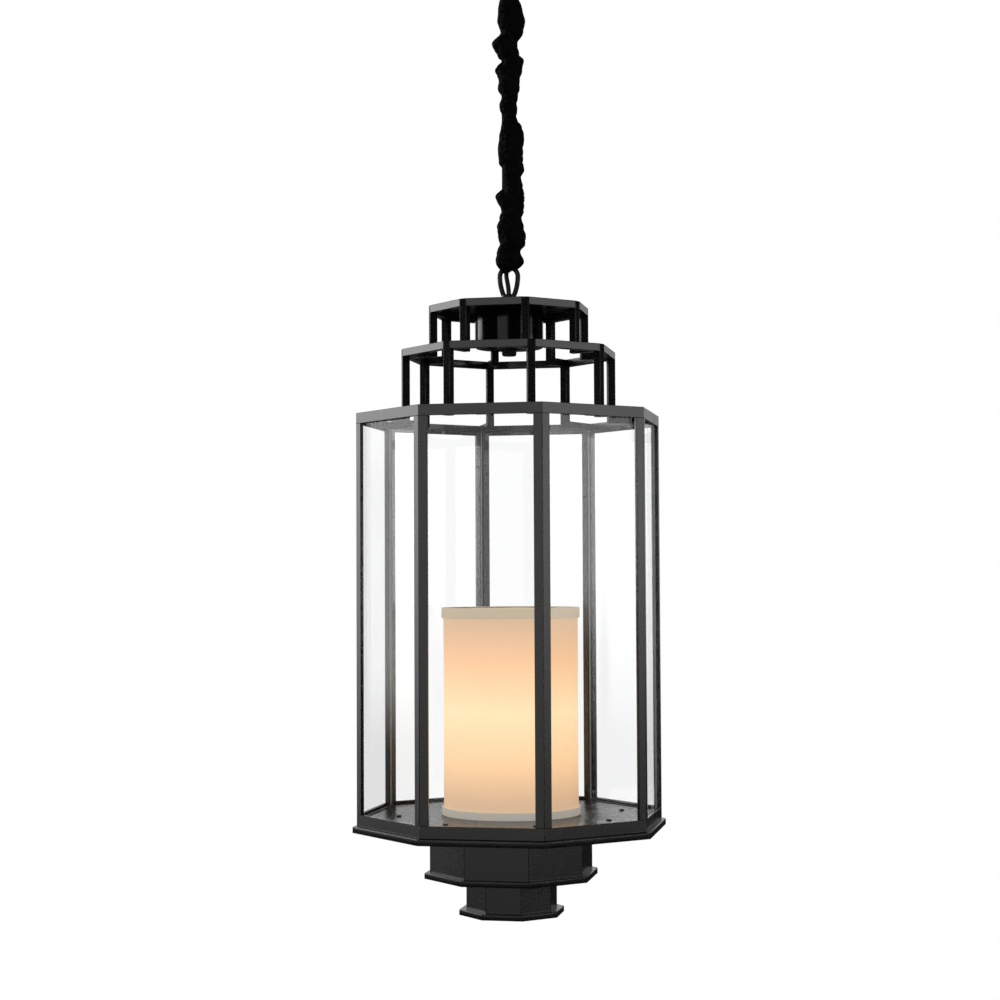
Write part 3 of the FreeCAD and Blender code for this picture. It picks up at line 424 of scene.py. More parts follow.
@dataclass(frozen=True)
class ClearGlass:
    """Float glass as a thin skin: clear face on, reflecting at a glance, greyer along cut edges."""

    name: str = "clear_float_glass"
    tint: Colour = (0.988, 0.990, 0.989)
    edge: Colour = (0.48, 0.53, 0.51)
    index: float = 1.5
    shine: float = 0.35

    def make(self) -> bpy.types.Material:
        """The material."""
        graph = Graph(self.name)
        film = graph.noise(6.0, 4.0, 0.6)
        wave = graph.noise(9.0, 1.0, 0.5)
        through = graph.node("ShaderNodeBsdfTransparent", inputs={"Color": self.tint})
        normal = graph.bump(wave, 0.0006, 0.12)
        mirror = graph.node("ShaderNodeBsdfAnisotropic", inputs={
            "Color": (1.0, 1.0, 1.0), "Roughness": 0.02 + film.span(0.4, 0.8) * 0.05, "Normal": normal})
        behind = graph.node("ShaderNodeNewGeometry", output="Backfacing")
        bending = self.index + behind * (1.0 / self.index - self.index)
        gloss = graph.node("ShaderNodeFresnel", inputs={"IOR": bending})
        shine = gloss * self.shine + film.span(0.45, 0.9) * 0.01
        sheet = graph.node("ShaderNodeMixShader", inputs={0: shine, 1: through, 2: mirror})
        cut = graph.surface(Base_Color=self.edge, Roughness=0.25, Alpha=0.8)
        facing = graph.node("ShaderNodeAttribute", {"attribute_name": "cut_edge"}, output="Fac")
        return graph.done(graph.node("ShaderNodeMixShader", inputs={0: facing, 1: sheet, 2: cut}))


@dataclass(frozen=True)
class LitBulb:
    """Opal bulb glass, lit from inside."""

    name: str = "lit_opal_glass"
    heart: Colour = (1.0, 0.86, 0.62)
    rim: Colour = (1.0, 0.72, 0.42)

    def make(self) -> bpy.types.Material:
        """The material."""
        graph = Graph(self.name)
        rim = graph.node("ShaderNodeLayerWeight", inputs={"Blend": 0.35}, output="Facing")
        frost = graph.noise(60.0, 2.0, 0.5)
        glow = graph.mix(rim * 0.6 + frost * 0.15, self.heart, self.rim)
        return graph.done(graph.surface(
            Base_Color=(0.9, 0.86, 0.8), Roughness=0.3, Emission_Color=glow, Emission_Strength=6.0,
            Normal=graph.bump(frost, 0.0001, 0.3)))


@dataclass(frozen=True)
class Linen:
    """Linen over a stiff lining, lit from inside: threads, slubs, painted shade in the gaps of the weave and
    a warm glow round the bulb.
    """

    name: str
    low: float
    high: float
    stops: Tuple[Tuple[float, Colour], ...]
    base: Colour = (0.42, 0.39, 0.35)
    # painted shade: the darker colour laid into the gaps between the threads
    weave_gap_shade: Colour = (0.28, 0.255, 0.22)
    pitch: float = 0.0011
    radius: float = 0.0955
    glow: float = 1.1

    def make(self) -> bpy.types.Material:
        """The material."""
        graph = Graph(self.name)
        x, y, z = graph.axes(graph.spot())
        turn = graph.maths("ARCTAN2", y, x)
        sway = graph.noise(28.0, 3.0, 0.6)
        weft = ((z * (math.tau / self.pitch)) + sway * 5.0).sine() * 0.5 + 0.5
        warp = ((turn * (self.radius * math.tau / self.pitch)) + sway * 5.0).sine() * 0.5 + 0.5
        slub = graph.noise(1.0, 3.0, 0.65, graph.joined(turn * 5.0, 0.0, z * 520.0))
        fleck = graph.noise(1.0, 2.0, 0.6, graph.joined(turn * 90.0, 0.0, z * 60.0))
        weave = weft * 0.6 + warp * 0.25 + slub * 0.6
        shadow = weave.span(0.35, 1.05)
        height = (z - self.low) / (self.high - self.low)
        warm = graph.ramp(height, self.stops)
        # painted shade: the glow is dimmed in the gaps between the threads
        thick = (slub.span(0.50, 0.68) * 0.16 + fleck.span(0.55, 0.75) * 0.07) + (1.0 - shadow) * 0.10
        light = graph.mix(thick, warm, (0.30, 0.19, 0.10))
        # painted shade: the gaps between the threads take the darker colour
        colour = graph.mix((1.0 - shadow) * 0.5, self.base, self.weave_gap_shade)
        normal = graph.bump(weave, 0.00025, 0.6)
        return graph.done(graph.surface(
            Base_Color=colour, Roughness=0.85, Normal=normal, Emission_Color=light,
            Emission_Strength=self.glow, Sheen_Weight=0.1, Sheen_Roughness=0.5))


class Finishes:
    """Every finish of the lantern, made once."""

    def __init__(self, shade_low: float, shade_high: float) -> None:
        """Make the materials.

        Args:
            shade_low: height of the shade's lower edge.
            shade_high: height of the shade's upper edge.
        """
        body_glow = (
            (0.0, (0.45, 0.30, 0.17)),
            (0.10, (0.58, 0.34, 0.17)),
            (0.26, (0.83, 0.49, 0.22)),
            (0.50, (0.86, 0.62, 0.32)),
            (0.74, (0.78, 0.41, 0.17)),
            (0.88, (0.58, 0.32, 0.15)),
            (1.0, (0.38, 0.25, 0.14)),
        )
        band_glow = ((0.0, (0.24, 0.225, 0.20)), (0.5, (0.32, 0.24, 0.15)), (1.0, (0.31, 0.24, 0.14)))
        lining_glow = ((0.0, (0.5, 0.36, 0.22)), (0.5, (0.8, 0.62, 0.4)), (1.0, (0.5, 0.38, 0.24)))
        self.coat = PowderCoat().make()
        self.enamel = Enamel().make()
        self.chain = DarkSteel("black_lacquered_steel").make()
        self.hardware = DarkSteel(
            "blackened_steel", dark=(0.008, 0.008, 0.0085), roughness=0.36, metal=0.4).make()
        self.zinc = Zinc().make()
        self.glass = ClearGlass().make()
        self.bulb = LitBulb().make()
        self.cap = Zinc("threaded_aluminium", (0.78, 0.77, 0.72), (0.55, 0.54, 0.5)).make()
        self.shade = Linen("glowing_linen", shade_low, shade_high, body_glow).make()
        self.band = Linen("linen_trim", shade_low, shade_high, band_glow).make()
        self.lining = Linen("shade_lining", shade_low, shade_high, lining_glow, (0.7, 0.68, 0.64)).make()
        self.sleeve = Velvet().make()
        self.cable = Rubber().make()
        self.holder = Moulding("black_holder_plastic", (0.022, 0.022, 0.023), (0.045, 0.045, 0.046)).make()
        self.terminal = Moulding("white_terminal_plastic", (0.82, 0.82, 0.78), (0.66, 0.65, 0.60)).make()


# ------------------------------------------------------------------ mesh work
class Bench:
    """Turns mesh work into pieces of the model."""

    @staticmethod
    def place(name: str, form: bmesh.types.BMesh, finish: bpy.types.Material) -> bpy.types.Object:
        """Make an object of a form.

        Args:
            name: the piece's name.
            form: its mesh, freed here.
            finish: its material.

        Returns:
            The new object.
        """
        mesh = bpy.data.meshes.new(name)
        form.to_mesh(mesh)
        form.free()
        mesh.materials.append(finish)
        made = bpy.data.objects.new(name, mesh)
        bpy.context.scene.collection.objects.link(made)
        log.info("%s: %d faces", name, len(mesh.polygons))
        return made

    @staticmethod
    def mount(made: bpy.types.Object, body: Body, slot: Slot, *nodes: str) -> bpy.types.Object:
        """Let a piece ride on a body and stand for CAD nodes."""
        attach(made, body.value)
        if nodes:
            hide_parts(*nodes)
        return made

    @staticmethod
    def dress(node: str, finish: bpy.types.Material, smooth: bool = True) -> None:
        """Give a CAD node a finish and shade its round faces smoothly.

        Args:
            node: the CAD node.
            finish: its new material.
            smooth: whether its faces under thirty degrees apart shade as one.
        """
        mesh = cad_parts[node].data
        mesh.materials.clear()
        mesh.materials.append(finish)
        if smooth:
            mesh.polygons.foreach_set("use_smooth", [True] * len(mesh.polygons))
            mesh.set_sharp_from_angle(angle=math.radians(30.0))
        log.info("%s: dressed in %s", node, finish.name)

    @staticmethod
    def copied(node: str) -> bmesh.types.BMesh:
        """A CAD node's mesh with its seams closed and its flat faces whole."""
        form = bmesh.new()
        form.from_mesh(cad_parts[node].data)
        bmesh.ops.remove_doubles(form, verts=form.verts, dist=2e-6)
        bmesh.ops.dissolve_limit(form, angle_limit=math.radians(0.8), verts=form.verts, edges=form.edges)
        return form

    @staticmethod
    def eased(node: str, width: float, sharper: float = 30.0) -> bmesh.types.BMesh:
        """A CAD node's mesh with its sharp edges eased.

        Args:
            node: the CAD node.
            width: how wide the eased edge is.
            sharper: edges of more than this many degrees are eased.

        Returns:
            The form, whose eased faces carry 1 in the layer "rubbed".
        """
        form = Bench.copied(node)
        layer = form.faces.layers.float.new("rubbed")
        sharp = [e for e in form.edges
                 if len(e.link_faces) == 2 and e.calc_face_angle() > math.radians(sharper)]
        made = bmesh.ops.bevel(form, geom=sharp, offset=width, offset_type="OFFSET", segments=2, profile=0.5,
                               affect="EDGES", clamp_overlap=True)
        for face in made["faces"]:
            face[layer] = 1.0
            face.smooth = True
        return form

    @staticmethod
    def lathe(profile: Sequence[Tuple[float, float]], turns: int = 128,
              ripple: Optional[Callable[[float, float, float], float]] = None) -> bmesh.types.BMesh:
        """Turn an outline about the upright axis.

        Args:
            profile: radius and height of each point, in metres; a closed outline repeats its first point.
            turns: steps round the axis.
            ripple: what is added to the radius at an angle, a radius and a height.

        Returns:
            The turned form.
        """
        form = bmesh.new()
        closed = profile[0] == profile[-1]
        points = profile[:-1] if closed else profile
        rows = []
        for radius, height in points:
            row = []
            for step in range(turns):
                angle = math.tau * step / turns
                reach = radius + (ripple(angle, radius, height) if ripple else 0.0)
                row.append(form.verts.new((reach * math.cos(angle), reach * math.sin(angle), height)))
            rows.append(row)
        pairs = list(zip(rows, rows[1:])) + ([(rows[-1], rows[0])] if closed else [])
        for lower, upper in pairs:
            for step in range(turns):
                after = (step + 1) % turns
                form.faces.new((lower[step], lower[after], upper[after], upper[step]))
        for face in form.faces:
            face.smooth = True
        bmesh.ops.recalc_face_normals(form, faces=form.faces)
        return form

    @staticmethod
    def arc(centre: Tuple[float, float], radius: float, start: float, end: float, steps: int = 6
            ) -> List[Tuple[float, float]]:
        """Points of an arc in an outline.

        Args:
            centre: radius and height of its centre.
            radius: the arc's radius.
            start: angle of its first point in degrees, from straight outwards.
            end: angle of its last point in degrees.
            steps: pieces it is made of.

        Returns:
            The points, both ends among them.
        """
        points = []
        for step in range(steps + 1):
            angle = math.radians(start + (end - start) * step / steps)
            points.append((centre[0] + radius * math.cos(angle), centre[1] + radius * math.sin(angle)))
        return points

    @staticmethod
    def line_of(name: str, route: Sequence[Point]) -> List[Vector]:
        """The smooth line that a cord follows.

        Args:
            name: a name for the curve.
            route: its control points.

        Returns:
            Points of the NURBS spline.
        """
        data = bpy.data.curves.new(name, "CURVE")
        data.dimensions = "3D"
        spline = data.splines.new("NURBS")
        spline.points.add(len(route) - 1)
        for point, place in zip(spline.points, route):
            point.co = (*place, 1.0)
        spline.order_u = 3
        spline.use_endpoint_u = True
        spline.resolution_u = 8
        holder = bpy.data.objects.new(name, data)
        bpy.context.scene.collection.objects.link(holder)
        mesh = bpy.data.meshes.new_from_object(holder)
        line = [vertex.co.copy() for vertex in mesh.vertices]
        bpy.data.objects.remove(holder)
        bpy.data.meshes.remove(mesh)
        return line

    @staticmethod
    def tube(line: Sequence[Vector], diameter: float, turns: int = 20) -> bmesh.types.BMesh:
        """A round tube along a line.

        Args:
            line: the points of its centre.
            diameter: how thick it is.
            turns: steps round it.

        Returns:
            The tube, closed at both ends.
        """
        form = bmesh.new()
        across = Vector((1.0, 0.0, 0.0))
        rows = []
        for index, spot in enumerate(line):
            along = (line[min(index + 1, len(line) - 1)] - line[max(index - 1, 0)]).normalized()
            across = (across - along * across.dot(along)).normalized()
            side = along.cross(across)
            row = []
            for step in range(turns):
                angle = math.tau * step / turns
                reach = (across * math.cos(angle) + side * math.sin(angle)) * (diameter / 2)
                row.append(form.verts.new(spot + reach))
            rows.append(row)
        for lower, upper in zip(rows, rows[1:]):
            for step in range(turns):
                after = (step + 1) % turns
                form.faces.new((lower[step], lower[after], upper[after], upper[step])).smooth = True
        form.faces.new(rows[0][::-1])
        form.faces.new(rows[-1])
        return form


# ------------------------------------------------------------------ suspension
@dataclass
class CeilingFitting:
    """Canopy, bracket, hook and terminal block at the ceiling."""

    finishes: Finishes
    depth: float = 30.0 * MM
    sheet: float = 1.2 * MM
    roll: float = 1.6 * MM

    def canopy(self) -> None:
        """A spun canopy with a rounded shoulder and a rolled lip against the ceiling."""
        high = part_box("canopy")[1]
        radius = high.x
        inner = 5.2 * MM
        profile = [(inner, -self.depth), (radius - 13.0 * MM, -self.depth)]
        profile += Bench.arc((radius - 13.0 * MM, -self.depth + 11.0 * MM), 11.0 * MM, -90.0, -10.0, 10)
        profile += [(radius - self.roll * 0.4, -5.0 * MM)]
        profile += Bench.arc((radius - self.roll, -self.roll), self.roll, 0.0, 90.0, 4)
        profile += [(radius - 3.0 * MM, 0.0), (radius - 3.0 * MM, -4.0 * MM)]
        profile += Bench.arc(
            (radius - 14.4 * MM, -self.depth + 11.0 * MM), 11.0 * MM - self.sheet, -10.0, -90.0, 10)
        profile += [(inner, -self.depth + self.sheet), (inner, -self.depth)]
        made = Bench.place("spun_canopy", Bench.lathe(profile, 96), self.finishes.coat)
        made.data.set_sharp_from_angle(angle=math.radians(40.0))
        Bench.mount(made, Body.CEILING, Slot.FRAME, "canopy")

    def build(self) -> None:
        """Make and dress everything at the ceiling."""
        self.canopy()
        for node in ("hook", "canopy_nut", "canopy_screws"):
            Bench.dress(node, self.finishes.hardware)
        for node in ("ceiling_bracket", "hook_nut"):
            Bench.dress(node, self.finishes.zinc)
        Bench.dress("terminal_block", self.finishes.terminal)


@dataclass
class Chain:
    """The links, which show only below the sleeve."""

    finishes: Finishes

    def build(self) -> None:
        """Dress the links."""
        for node in ("top_link", "chain_links", "bottom_link"):
            Bench.dress(node, self.finishes.chain)


@dataclass
class Flex:
    """The cable from the ceiling to the neck of the lantern, in three stretches."""

    finishes: Finishes
    top: float
    diameter: float = 6.6 * MM
    run_foot: float = 77.0 * MM
    run_head: float = -66.0 * MM
    away: Tuple[float, float] = (-2.452 * MM, 12.053 * MM)
    tail: Tuple[Point, ...] = (
        (0.0, 0.0, -26.0), (0.0, 0.0, 6.0), (-0.3, 0.6, 24.0), (-2.6, 3.4, 36.0), (-5.6, 8.0, 46.0),
        (-5.2, 11.4, 58.0), (-2.452, 12.053, 69.0), (-2.452, 12.053, 77.0))
    # these heights are from the ceiling face
    rise: Tuple[Point, ...] = (
        (-2.452, 12.053, -66.0), (-2.452, 12.053, -59.0), (-5.845, 22.312, -39.0), (-4.845, 23.812, -22.0))
    tail_length: float = 105.5 * MM
    upper_length: float = 46.4 * MM
    # the two heights of each blend: the tail's above the lantern, the upper stretch's from the ceiling face
    tail_blend: Tuple[float, float] = (68.0 * MM, 40.0 * MM)
    upper_blend: Tuple[float, float] = (-30.0 * MM, -62.0 * MM)

    def stretch(self, name: str, route: Sequence[Point]) -> bpy.types.Object:
        """One stretch of the cable.

        Args:
            name: the piece's name.
            route: control points in metres.

        Returns:
            The tube, which rides on nothing yet.
        """
        line = Bench.line_of(f"{name}_line", route)
        made = Bench.place(name, Bench.tube(line, self.diameter), self.finishes.cable)
        return made

    def build(self) -> None:
        """Make the three stretches."""
        tail = [(x * MM, y * MM, self.top + z * MM) for x, y, z in self.tail]
        made = self.stretch("flex_tail", tail)
        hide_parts("cable_tail")
        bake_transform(made)
        x, y = self.away
        foot = self.top + self.run_foot
        run = [(x, y, foot + (self.run_head - foot) * share) for share in (0.0, 0.2, 0.4, 0.6, 0.8, 1.0)]
        made = self.stretch("flex_run", run)
        Bench.mount(made, Body.CHAIN, Slot.CABLE, "cable_run")
        rise = [(x * MM, y * MM, z * MM) for x, y, z in self.rise]
        made = self.stretch("flex_upper", rise)
        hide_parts("cable_upper")
        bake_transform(made)


@dataclass
class Sleeve:
    """The cloth sleeve over chain and cable, gathered into irregular puffs, in two lengths."""

    finishes: Finishes
    top: float
    neck: float = 271.0
    turn: float = 11.5
    cloth: float = 0.7 * MM
    rings: int = 96
    step: float = 1.0
    # how far the sleeve's middle stands to the right, in millimetres
    lean: float = 3.2
    # height above the lantern, reach to the left and reach to the right, in millimetres
    puffs: Tuple[Tuple[float, float, float], ...] = (
        (48.0, 14.0, 11.0), (65.0, 22.3, 19.0), (79.0, 20.4, 13.6), (90.0, 16.4, 20.6),
        (102.0, 18.4, 21.7), (114.0, 20.4, 19.0), (126.0, 16.6, 15.6), (139.0, 14.0, 19.0),
        (158.0, 22.3, 20.0), (172.0, 11.6, 18.0), (186.0, 10.0, 14.9), (195.0, 10.0, 20.0),
        (208.0, 17.0, 18.2), (225.0, 18.2, 18.4), (246.0, 16.2, 20.0), (258.0, 13.5, 16.8),
        (271.0, 8.6, 8.6), (283.0, 14.9, 10.2), (291.0, 15.4, 9.6), (302.0, 12.4, 11.3),
        (313.0, 17.6, 13.8), (326.0, 16.8, 14.0), (340.0, 21.7, 17.6), (354.0, 10.0, 20.0),
        (362.0, 18.4, 13.6), (378.0, 26.0, 10.8), (395.0, 13.5, 19.5), (411.0, 18.2, 22.3),
        (428.0, 16.8, 18.2), (446.0, 14.3, 12.7))

    def reach(self, height: float, side: int) -> float:
        """How far the cloth stands out at a height.

        Args:
            height: millimetres above the lantern.
            side: 1 for the left reach and 2 for the right.

        Returns:
            The reach in millimetres.
        """
        puffs = self.puffs
        if height <= puffs[0][0]:
            return puffs[0][side]
        for low, high in zip(puffs, puffs[1:]):
            if height <= high[0]:
                share = (height - low[0]) / (high[0] - low[0])
                share = share * share * (3.0 - 2.0 * share)
                return low[side] + (high[side] - low[side]) * share
        return puffs[-1][side]

    def radius(self, angle: float, height: float) -> float:
        """Distance from the chain's axis to the cloth, in millimetres.

        Args:
            angle: radians about the chain, from the right-hand side.
            height: millimetres above the lantern.

        Returns:
            The distance.
        """
        around = Vector((math.cos(angle) * 1.1, math.sin(angle) * 1.1, height * 0.030))
        lift = math.sin(angle) ** 2 * noise.noise(around * 1.3 + Vector((3.0, 1.0, 0.0))) * 22.0
        share = 0.5 + 0.5 * math.cos(angle)
        share = share * share * (3.0 - 2.0 * share)
        left = self.reach(height + lift, 1) - self.lean
        right = self.reach(height - lift, 2) + self.lean
        middle = left + (right - left) * share
        fuller = math.sin(angle) ** 2
        middle += fuller * (17.0 - middle) * 0.45
        slant = height * 0.16 + 2.1 * math.sin(angle + 0.6) + 2.6 * noise.noise(around * 0.9)
        crease = 1.0 - abs(math.sin(slant * 1.5))
        folds = -2.6 * crease ** 2.2 * (0.45 + 0.55 * fuller)
        ridges = noise.turbulence(around * 2.6, 3, True) * 2.4
        reach = middle + folds + (ridges - 1.2) * (0.3 + 0.7 * fuller)
        behind = max(0.0, math.sin(angle)) ** 3
        least = 9.4 + behind * 8.2
        return reach if reach > least else least - (least - reach) * 0.08

    def length(self, name: str, low: float, high: float) -> bpy.types.Object:
        """One length of the sleeve between two heights.

        Args:
            name: the piece's name.
            low: millimetres above the lantern.
            high: millimetres above the lantern.

        Returns:
            The cloth, with its thickness.
        """
        form = bmesh.new()
        rows = []
        bottom_end = low < self.puffs[1][0]
        count = round((high - low) / self.step)
        turned = math.radians(self.turn)
        hem_rows = 5 if bottom_end else 0
        for index in range(-hem_rows, count + 1):
            row = []
            for step in range(self.rings):
                angle = math.tau * step / self.rings
                waver = noise.noise(Vector((math.cos(angle) * 2, 7.0, 0.0)))
                hem = 4.0 + 3.5 * math.cos(angle) + 2.0 * waver if bottom_end else 0.0
                share = max(index, 0) / count
                height = low + hem * (1.0 - share) ** 6 + (high - low) * share
                reach = self.radius(angle, height)
                if bottom_end:
                    edge = max(0.0, 1.0 - (height - low - hem) / 9.0)
                    reach -= 3.4 * edge * edge
                if index < 0:
                    tuck = -index / hem_rows
                    reach -= 2.6 * math.sin(tuck * math.pi / 2)
                    height += 6.0 * tuck * tuck
                heading = angle + turned
                row.append(form.verts.new((
                    reach * MM * math.cos(heading), reach * MM * math.sin(heading), self.top + height * MM)))
            rows.append(row)
        for lower, upper in zip(rows, rows[1:]):
            for step in range(self.rings):
                after = (step + 1) % self.rings
                form.faces.new((lower[step], lower[after], upper[after], upper[step])).smooth = True
        made = Bench.place(name, form, self.finishes.sleeve)
        Apply.thicken(made, self.cloth)
        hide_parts("chain_sleeve")
        return made

    def build(self) -> None:
        """Make both lengths."""
        high = -66.0 - self.top / MM
        upper = self.length("sleeve_upper", self.neck, high)
        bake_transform(upper)
        lower = self.length("sleeve_lower", self.puffs[0][0], self.neck)
        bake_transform(lower)


class Apply:
    """Modifiers that are made part of the mesh at once."""

    @staticmethod
    def bake(made: bpy.types.Object) -> None:
        """Make a piece's modifiers part of its mesh."""
        bpy.context.view_layer.update()
        graph = bpy.context.evaluated_depsgraph_get()
        mesh = bpy.data.meshes.new_from_object(made.evaluated_get(graph))
        old = made.data
        made.modifiers.clear()
        made.data = mesh
        mesh.name = old.name
        bpy.data.meshes.remove(old)

    @staticmethod
    def thicken(made: bpy.types.Object, thickness: float) -> None:
        """Give a skin its thickness, inwards."""
        solid = made.modifiers.new("thickness", "SOLIDIFY")
        solid.thickness = thickness
        solid.offset = -1.0
        Apply.bake(made)


# ------------------------------------------------------------------ lantern
@dataclass
class Crown:
    """Eye, top plate, canister and the two tiers of square bar."""

    finishes: Finishes
    ease: float = 0.55 * MM
    bars: Tuple[str, ...] = ("tier2_rails", "tier2_posts", "tier2_spokes", "tier1_rails", "tier1_posts",
                             "tier1_spokes")

    def canister(self) -> None:
        """A spun canister with a rounded lower edge and a shallow dish round its nut."""
        low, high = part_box("canister")
        radius = high.x
        wall = 1.5 * MM
        round_edge = 3.2 * MM
        bore = 5.1 * MM
        profile = [(bore, low.z + 1.2 * MM), (13.0 * MM, low.z + 1.2 * MM), (17.0 * MM, low.z + 0.2 * MM),
                   (24.0 * MM, low.z), (radius - round_edge, low.z)]
        profile += Bench.arc((radius - round_edge, low.z + round_edge), round_edge, -90.0, 0.0, 7)[1:]
        profile += [(radius, low.z + 20.0 * MM), (radius, high.z - 16.0 * MM), (radius, high.z)]
        profile += [(radius - wall, high.z), (radius - wall, low.z + round_edge + wall)]
        profile += [(radius - round_edge - wall, low.z + wall + 0.3 * MM), (bore, low.z + wall + 1.0 * MM),
                    profile[0]]
        made = Bench.place("spun_canister", Bench.lathe(profile, 160), self.finishes.enamel)
        made.data.set_sharp_from_angle(angle=math.radians(40.0))
        Bench.mount(made, Body.LANTERN, Slot.CANISTER, "canister")

    def nut(self) -> None:
        """A knurled nut under the canister."""
        low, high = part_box("canister_nut")
        radius = high.x * 0.93
        knurls = 36

        def ripple(angle: float, reach: float, height: float) -> float:
            """Depth of the knurling at a place on the nut."""
            inside = low.z + 1.5 * MM < height < high.z - 1.2 * MM
            return 0.35 * MM * math.cos(angle * knurls) if inside and reach > radius * 0.95 else 0.0

        profile = [(5.1 * MM, low.z), (radius - 1.2 * MM, low.z), (radius, low.z + 1.2 * MM)]
        profile += [(radius, low.z + (high.z - low.z) * share) for share in (0.2, 0.35, 0.5, 0.65, 0.8)]
        profile += [(radius, high.z - 1.0 * MM), (radius - 0.8 * MM, high.z), (5.1 * MM, high.z),
                    (5.1 * MM, low.z)]
        made = Bench.place("knurled_nut", Bench.lathe(profile, 216, ripple), self.finishes.hardware)
        made.data.set_sharp_from_angle(angle=math.radians(35.0))
        Bench.mount(made, Body.LANTERN, Slot.HARDWARE, "canister_nut")

    def build(self) -> None:
        """Make and dress the crown."""
        for node in self.bars:
            made = Bench.place(f"{node}_eased", Bench.eased(node, self.ease), self.finishes.coat)
            Bench.mount(made, Body.LANTERN, Slot.FRAME, node)
        plate = Bench.place("top_plate_eased", Bench.eased("top_plate", 0.4 * MM, 50.0), self.finishes.coat)
        Bench.mount(plate, Body.LANTERN, Slot.FRAME, "top_plate")
        self.canister()
        self.nut()
        for node in ("eye_bolt", "top_screws"):
            Bench.dress(node, self.finishes.hardware)
        Bench.dress("stem_tube", self.finishes.zinc)


@dataclass
class GlazedBody:
    """Stiles, rails, panes, beads and clips of the eight-sided body."""

    finishes: Finishes
    ease: float = 0.4 * MM
    bars: Tuple[str, ...] = ("top_rails", "bottom_rails", "stiles_left", "stiles_right")

    def panes(self) -> None:
        """The panes, with their cut edges marked."""
        form = Bench.copied("glass_panes")
        layer = form.faces.layers.float.new("cut_edge")
        for face in form.faces:
            face[layer] = 1.0 if min(edge.calc_length() for edge in face.edges) < 6.0 * MM else 0.0
        made = Bench.place("float_panes", form, self.finishes.glass)
        Bench.mount(made, Body.LANTERN, Slot.GLASS, "glass_panes")

    def build(self) -> None:
        """Make and dress the body."""
        for node in self.bars:
            made = Bench.place(f"{node}_eased", Bench.eased(node, self.ease), self.finishes.coat)
            Bench.mount(made, Body.LANTERN, Slot.FRAME, node)
        self.panes()
        for node in ("glazing_beads", "glass_clips"):
            made = Bench.place(f"{node}_eased", Bench.eased(node, 0.3 * MM), self.finishes.hardware)
            Bench.mount(made, Body.LANTERN, Slot.HARDWARE, node)


@dataclass
class Base:
    """Floor, pans, boxes and what holds them together."""

    finishes: Finishes
    ease: float = 0.4 * MM
    folded: Tuple[str, ...] = ("floor_plate", "base_pan", "mid_pan", "low_pan", "mid_box", "low_box")

    def build(self) -> None:
        """Make and dress the base."""
        for node in self.folded:
            made = Bench.place(f"{node}_eased", Bench.eased(node, self.ease, 44.0), self.finishes.coat)
            made.data.set_sharp_from_angle(angle=math.radians(30.0))
            Bench.mount(made, Body.LANTERN, Slot.FRAME, node)
        Bench.dress("floor_screws", self.finishes.coat)
        for node in ("base_screws", "rod_nut_floor"):
            Bench.dress(node, self.finishes.hardware)
        for node in ("floor_spacers", "tie_rod", "rod_nut_low", "rod_nut_base"):
            Bench.dress(node, self.finishes.zinc)


@dataclass
class Lamp:
    """Lamp holder, threaded cap and lit bulb."""

    finishes: Finishes
    pitch: float = 3.6 * MM

    def cap(self) -> None:
        """A cap with a rolled thread."""
        low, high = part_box("bulb_cap")
        radius = high.x
        profile = [(0.5 * MM, low.z), (5.0 * MM, low.z), (9.0 * MM, low.z + 4.0 * MM)]
        start = low.z + 5.0 * MM
        count = 48
        for step in range(count + 1):
            height = start + (high.z - start) * step / count
            wave = math.cos(math.tau * (height - start) / self.pitch)
            profile.append((radius - 0.6 * MM - 0.6 * MM * wave, height))
        made = Bench.place("threaded_cap", Bench.lathe(profile, 64), self.finishes.cap)
        Bench.mount(made, Body.LANTERN, Slot.BULB_CAP, "bulb_cap")

    def ring(self) -> None:
        """The ribbed ring that clamps the shade's carrier."""
        low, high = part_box("holder_ring")
        radius = high.x
        inner = radius - 4.9 * MM
        ribs = 30

        def ripple(angle: float, reach: float, height: float) -> float:
            """Depth of the ribs at a place on the ring."""
            return 0.4 * MM * math.cos(angle * ribs) - 0.4 * MM if reach > radius * 0.96 else 0.0

        profile = [(inner, low.z), (radius - 0.8 * MM, low.z), (radius, low.z + 0.8 * MM),
                   (radius, high.z - 0.8 * MM), (radius - 0.8 * MM, high.z), (inner, high.z), (inner, low.z)]
        made = Bench.place("ribbed_ring", Bench.lathe(profile, 180, ripple), self.finishes.holder)
        made.data.set_sharp_from_angle(angle=math.radians(40.0))
        Bench.mount(made, Body.LANTERN, Slot.HOLDER, "holder_ring")

    def build(self) -> None:
        """Make and dress the lamp."""
        self.cap()
        self.ring()
        Bench.dress("lamp_holder", self.finishes.holder)
        Bench.dress("bulb_glass", self.finishes.bulb)


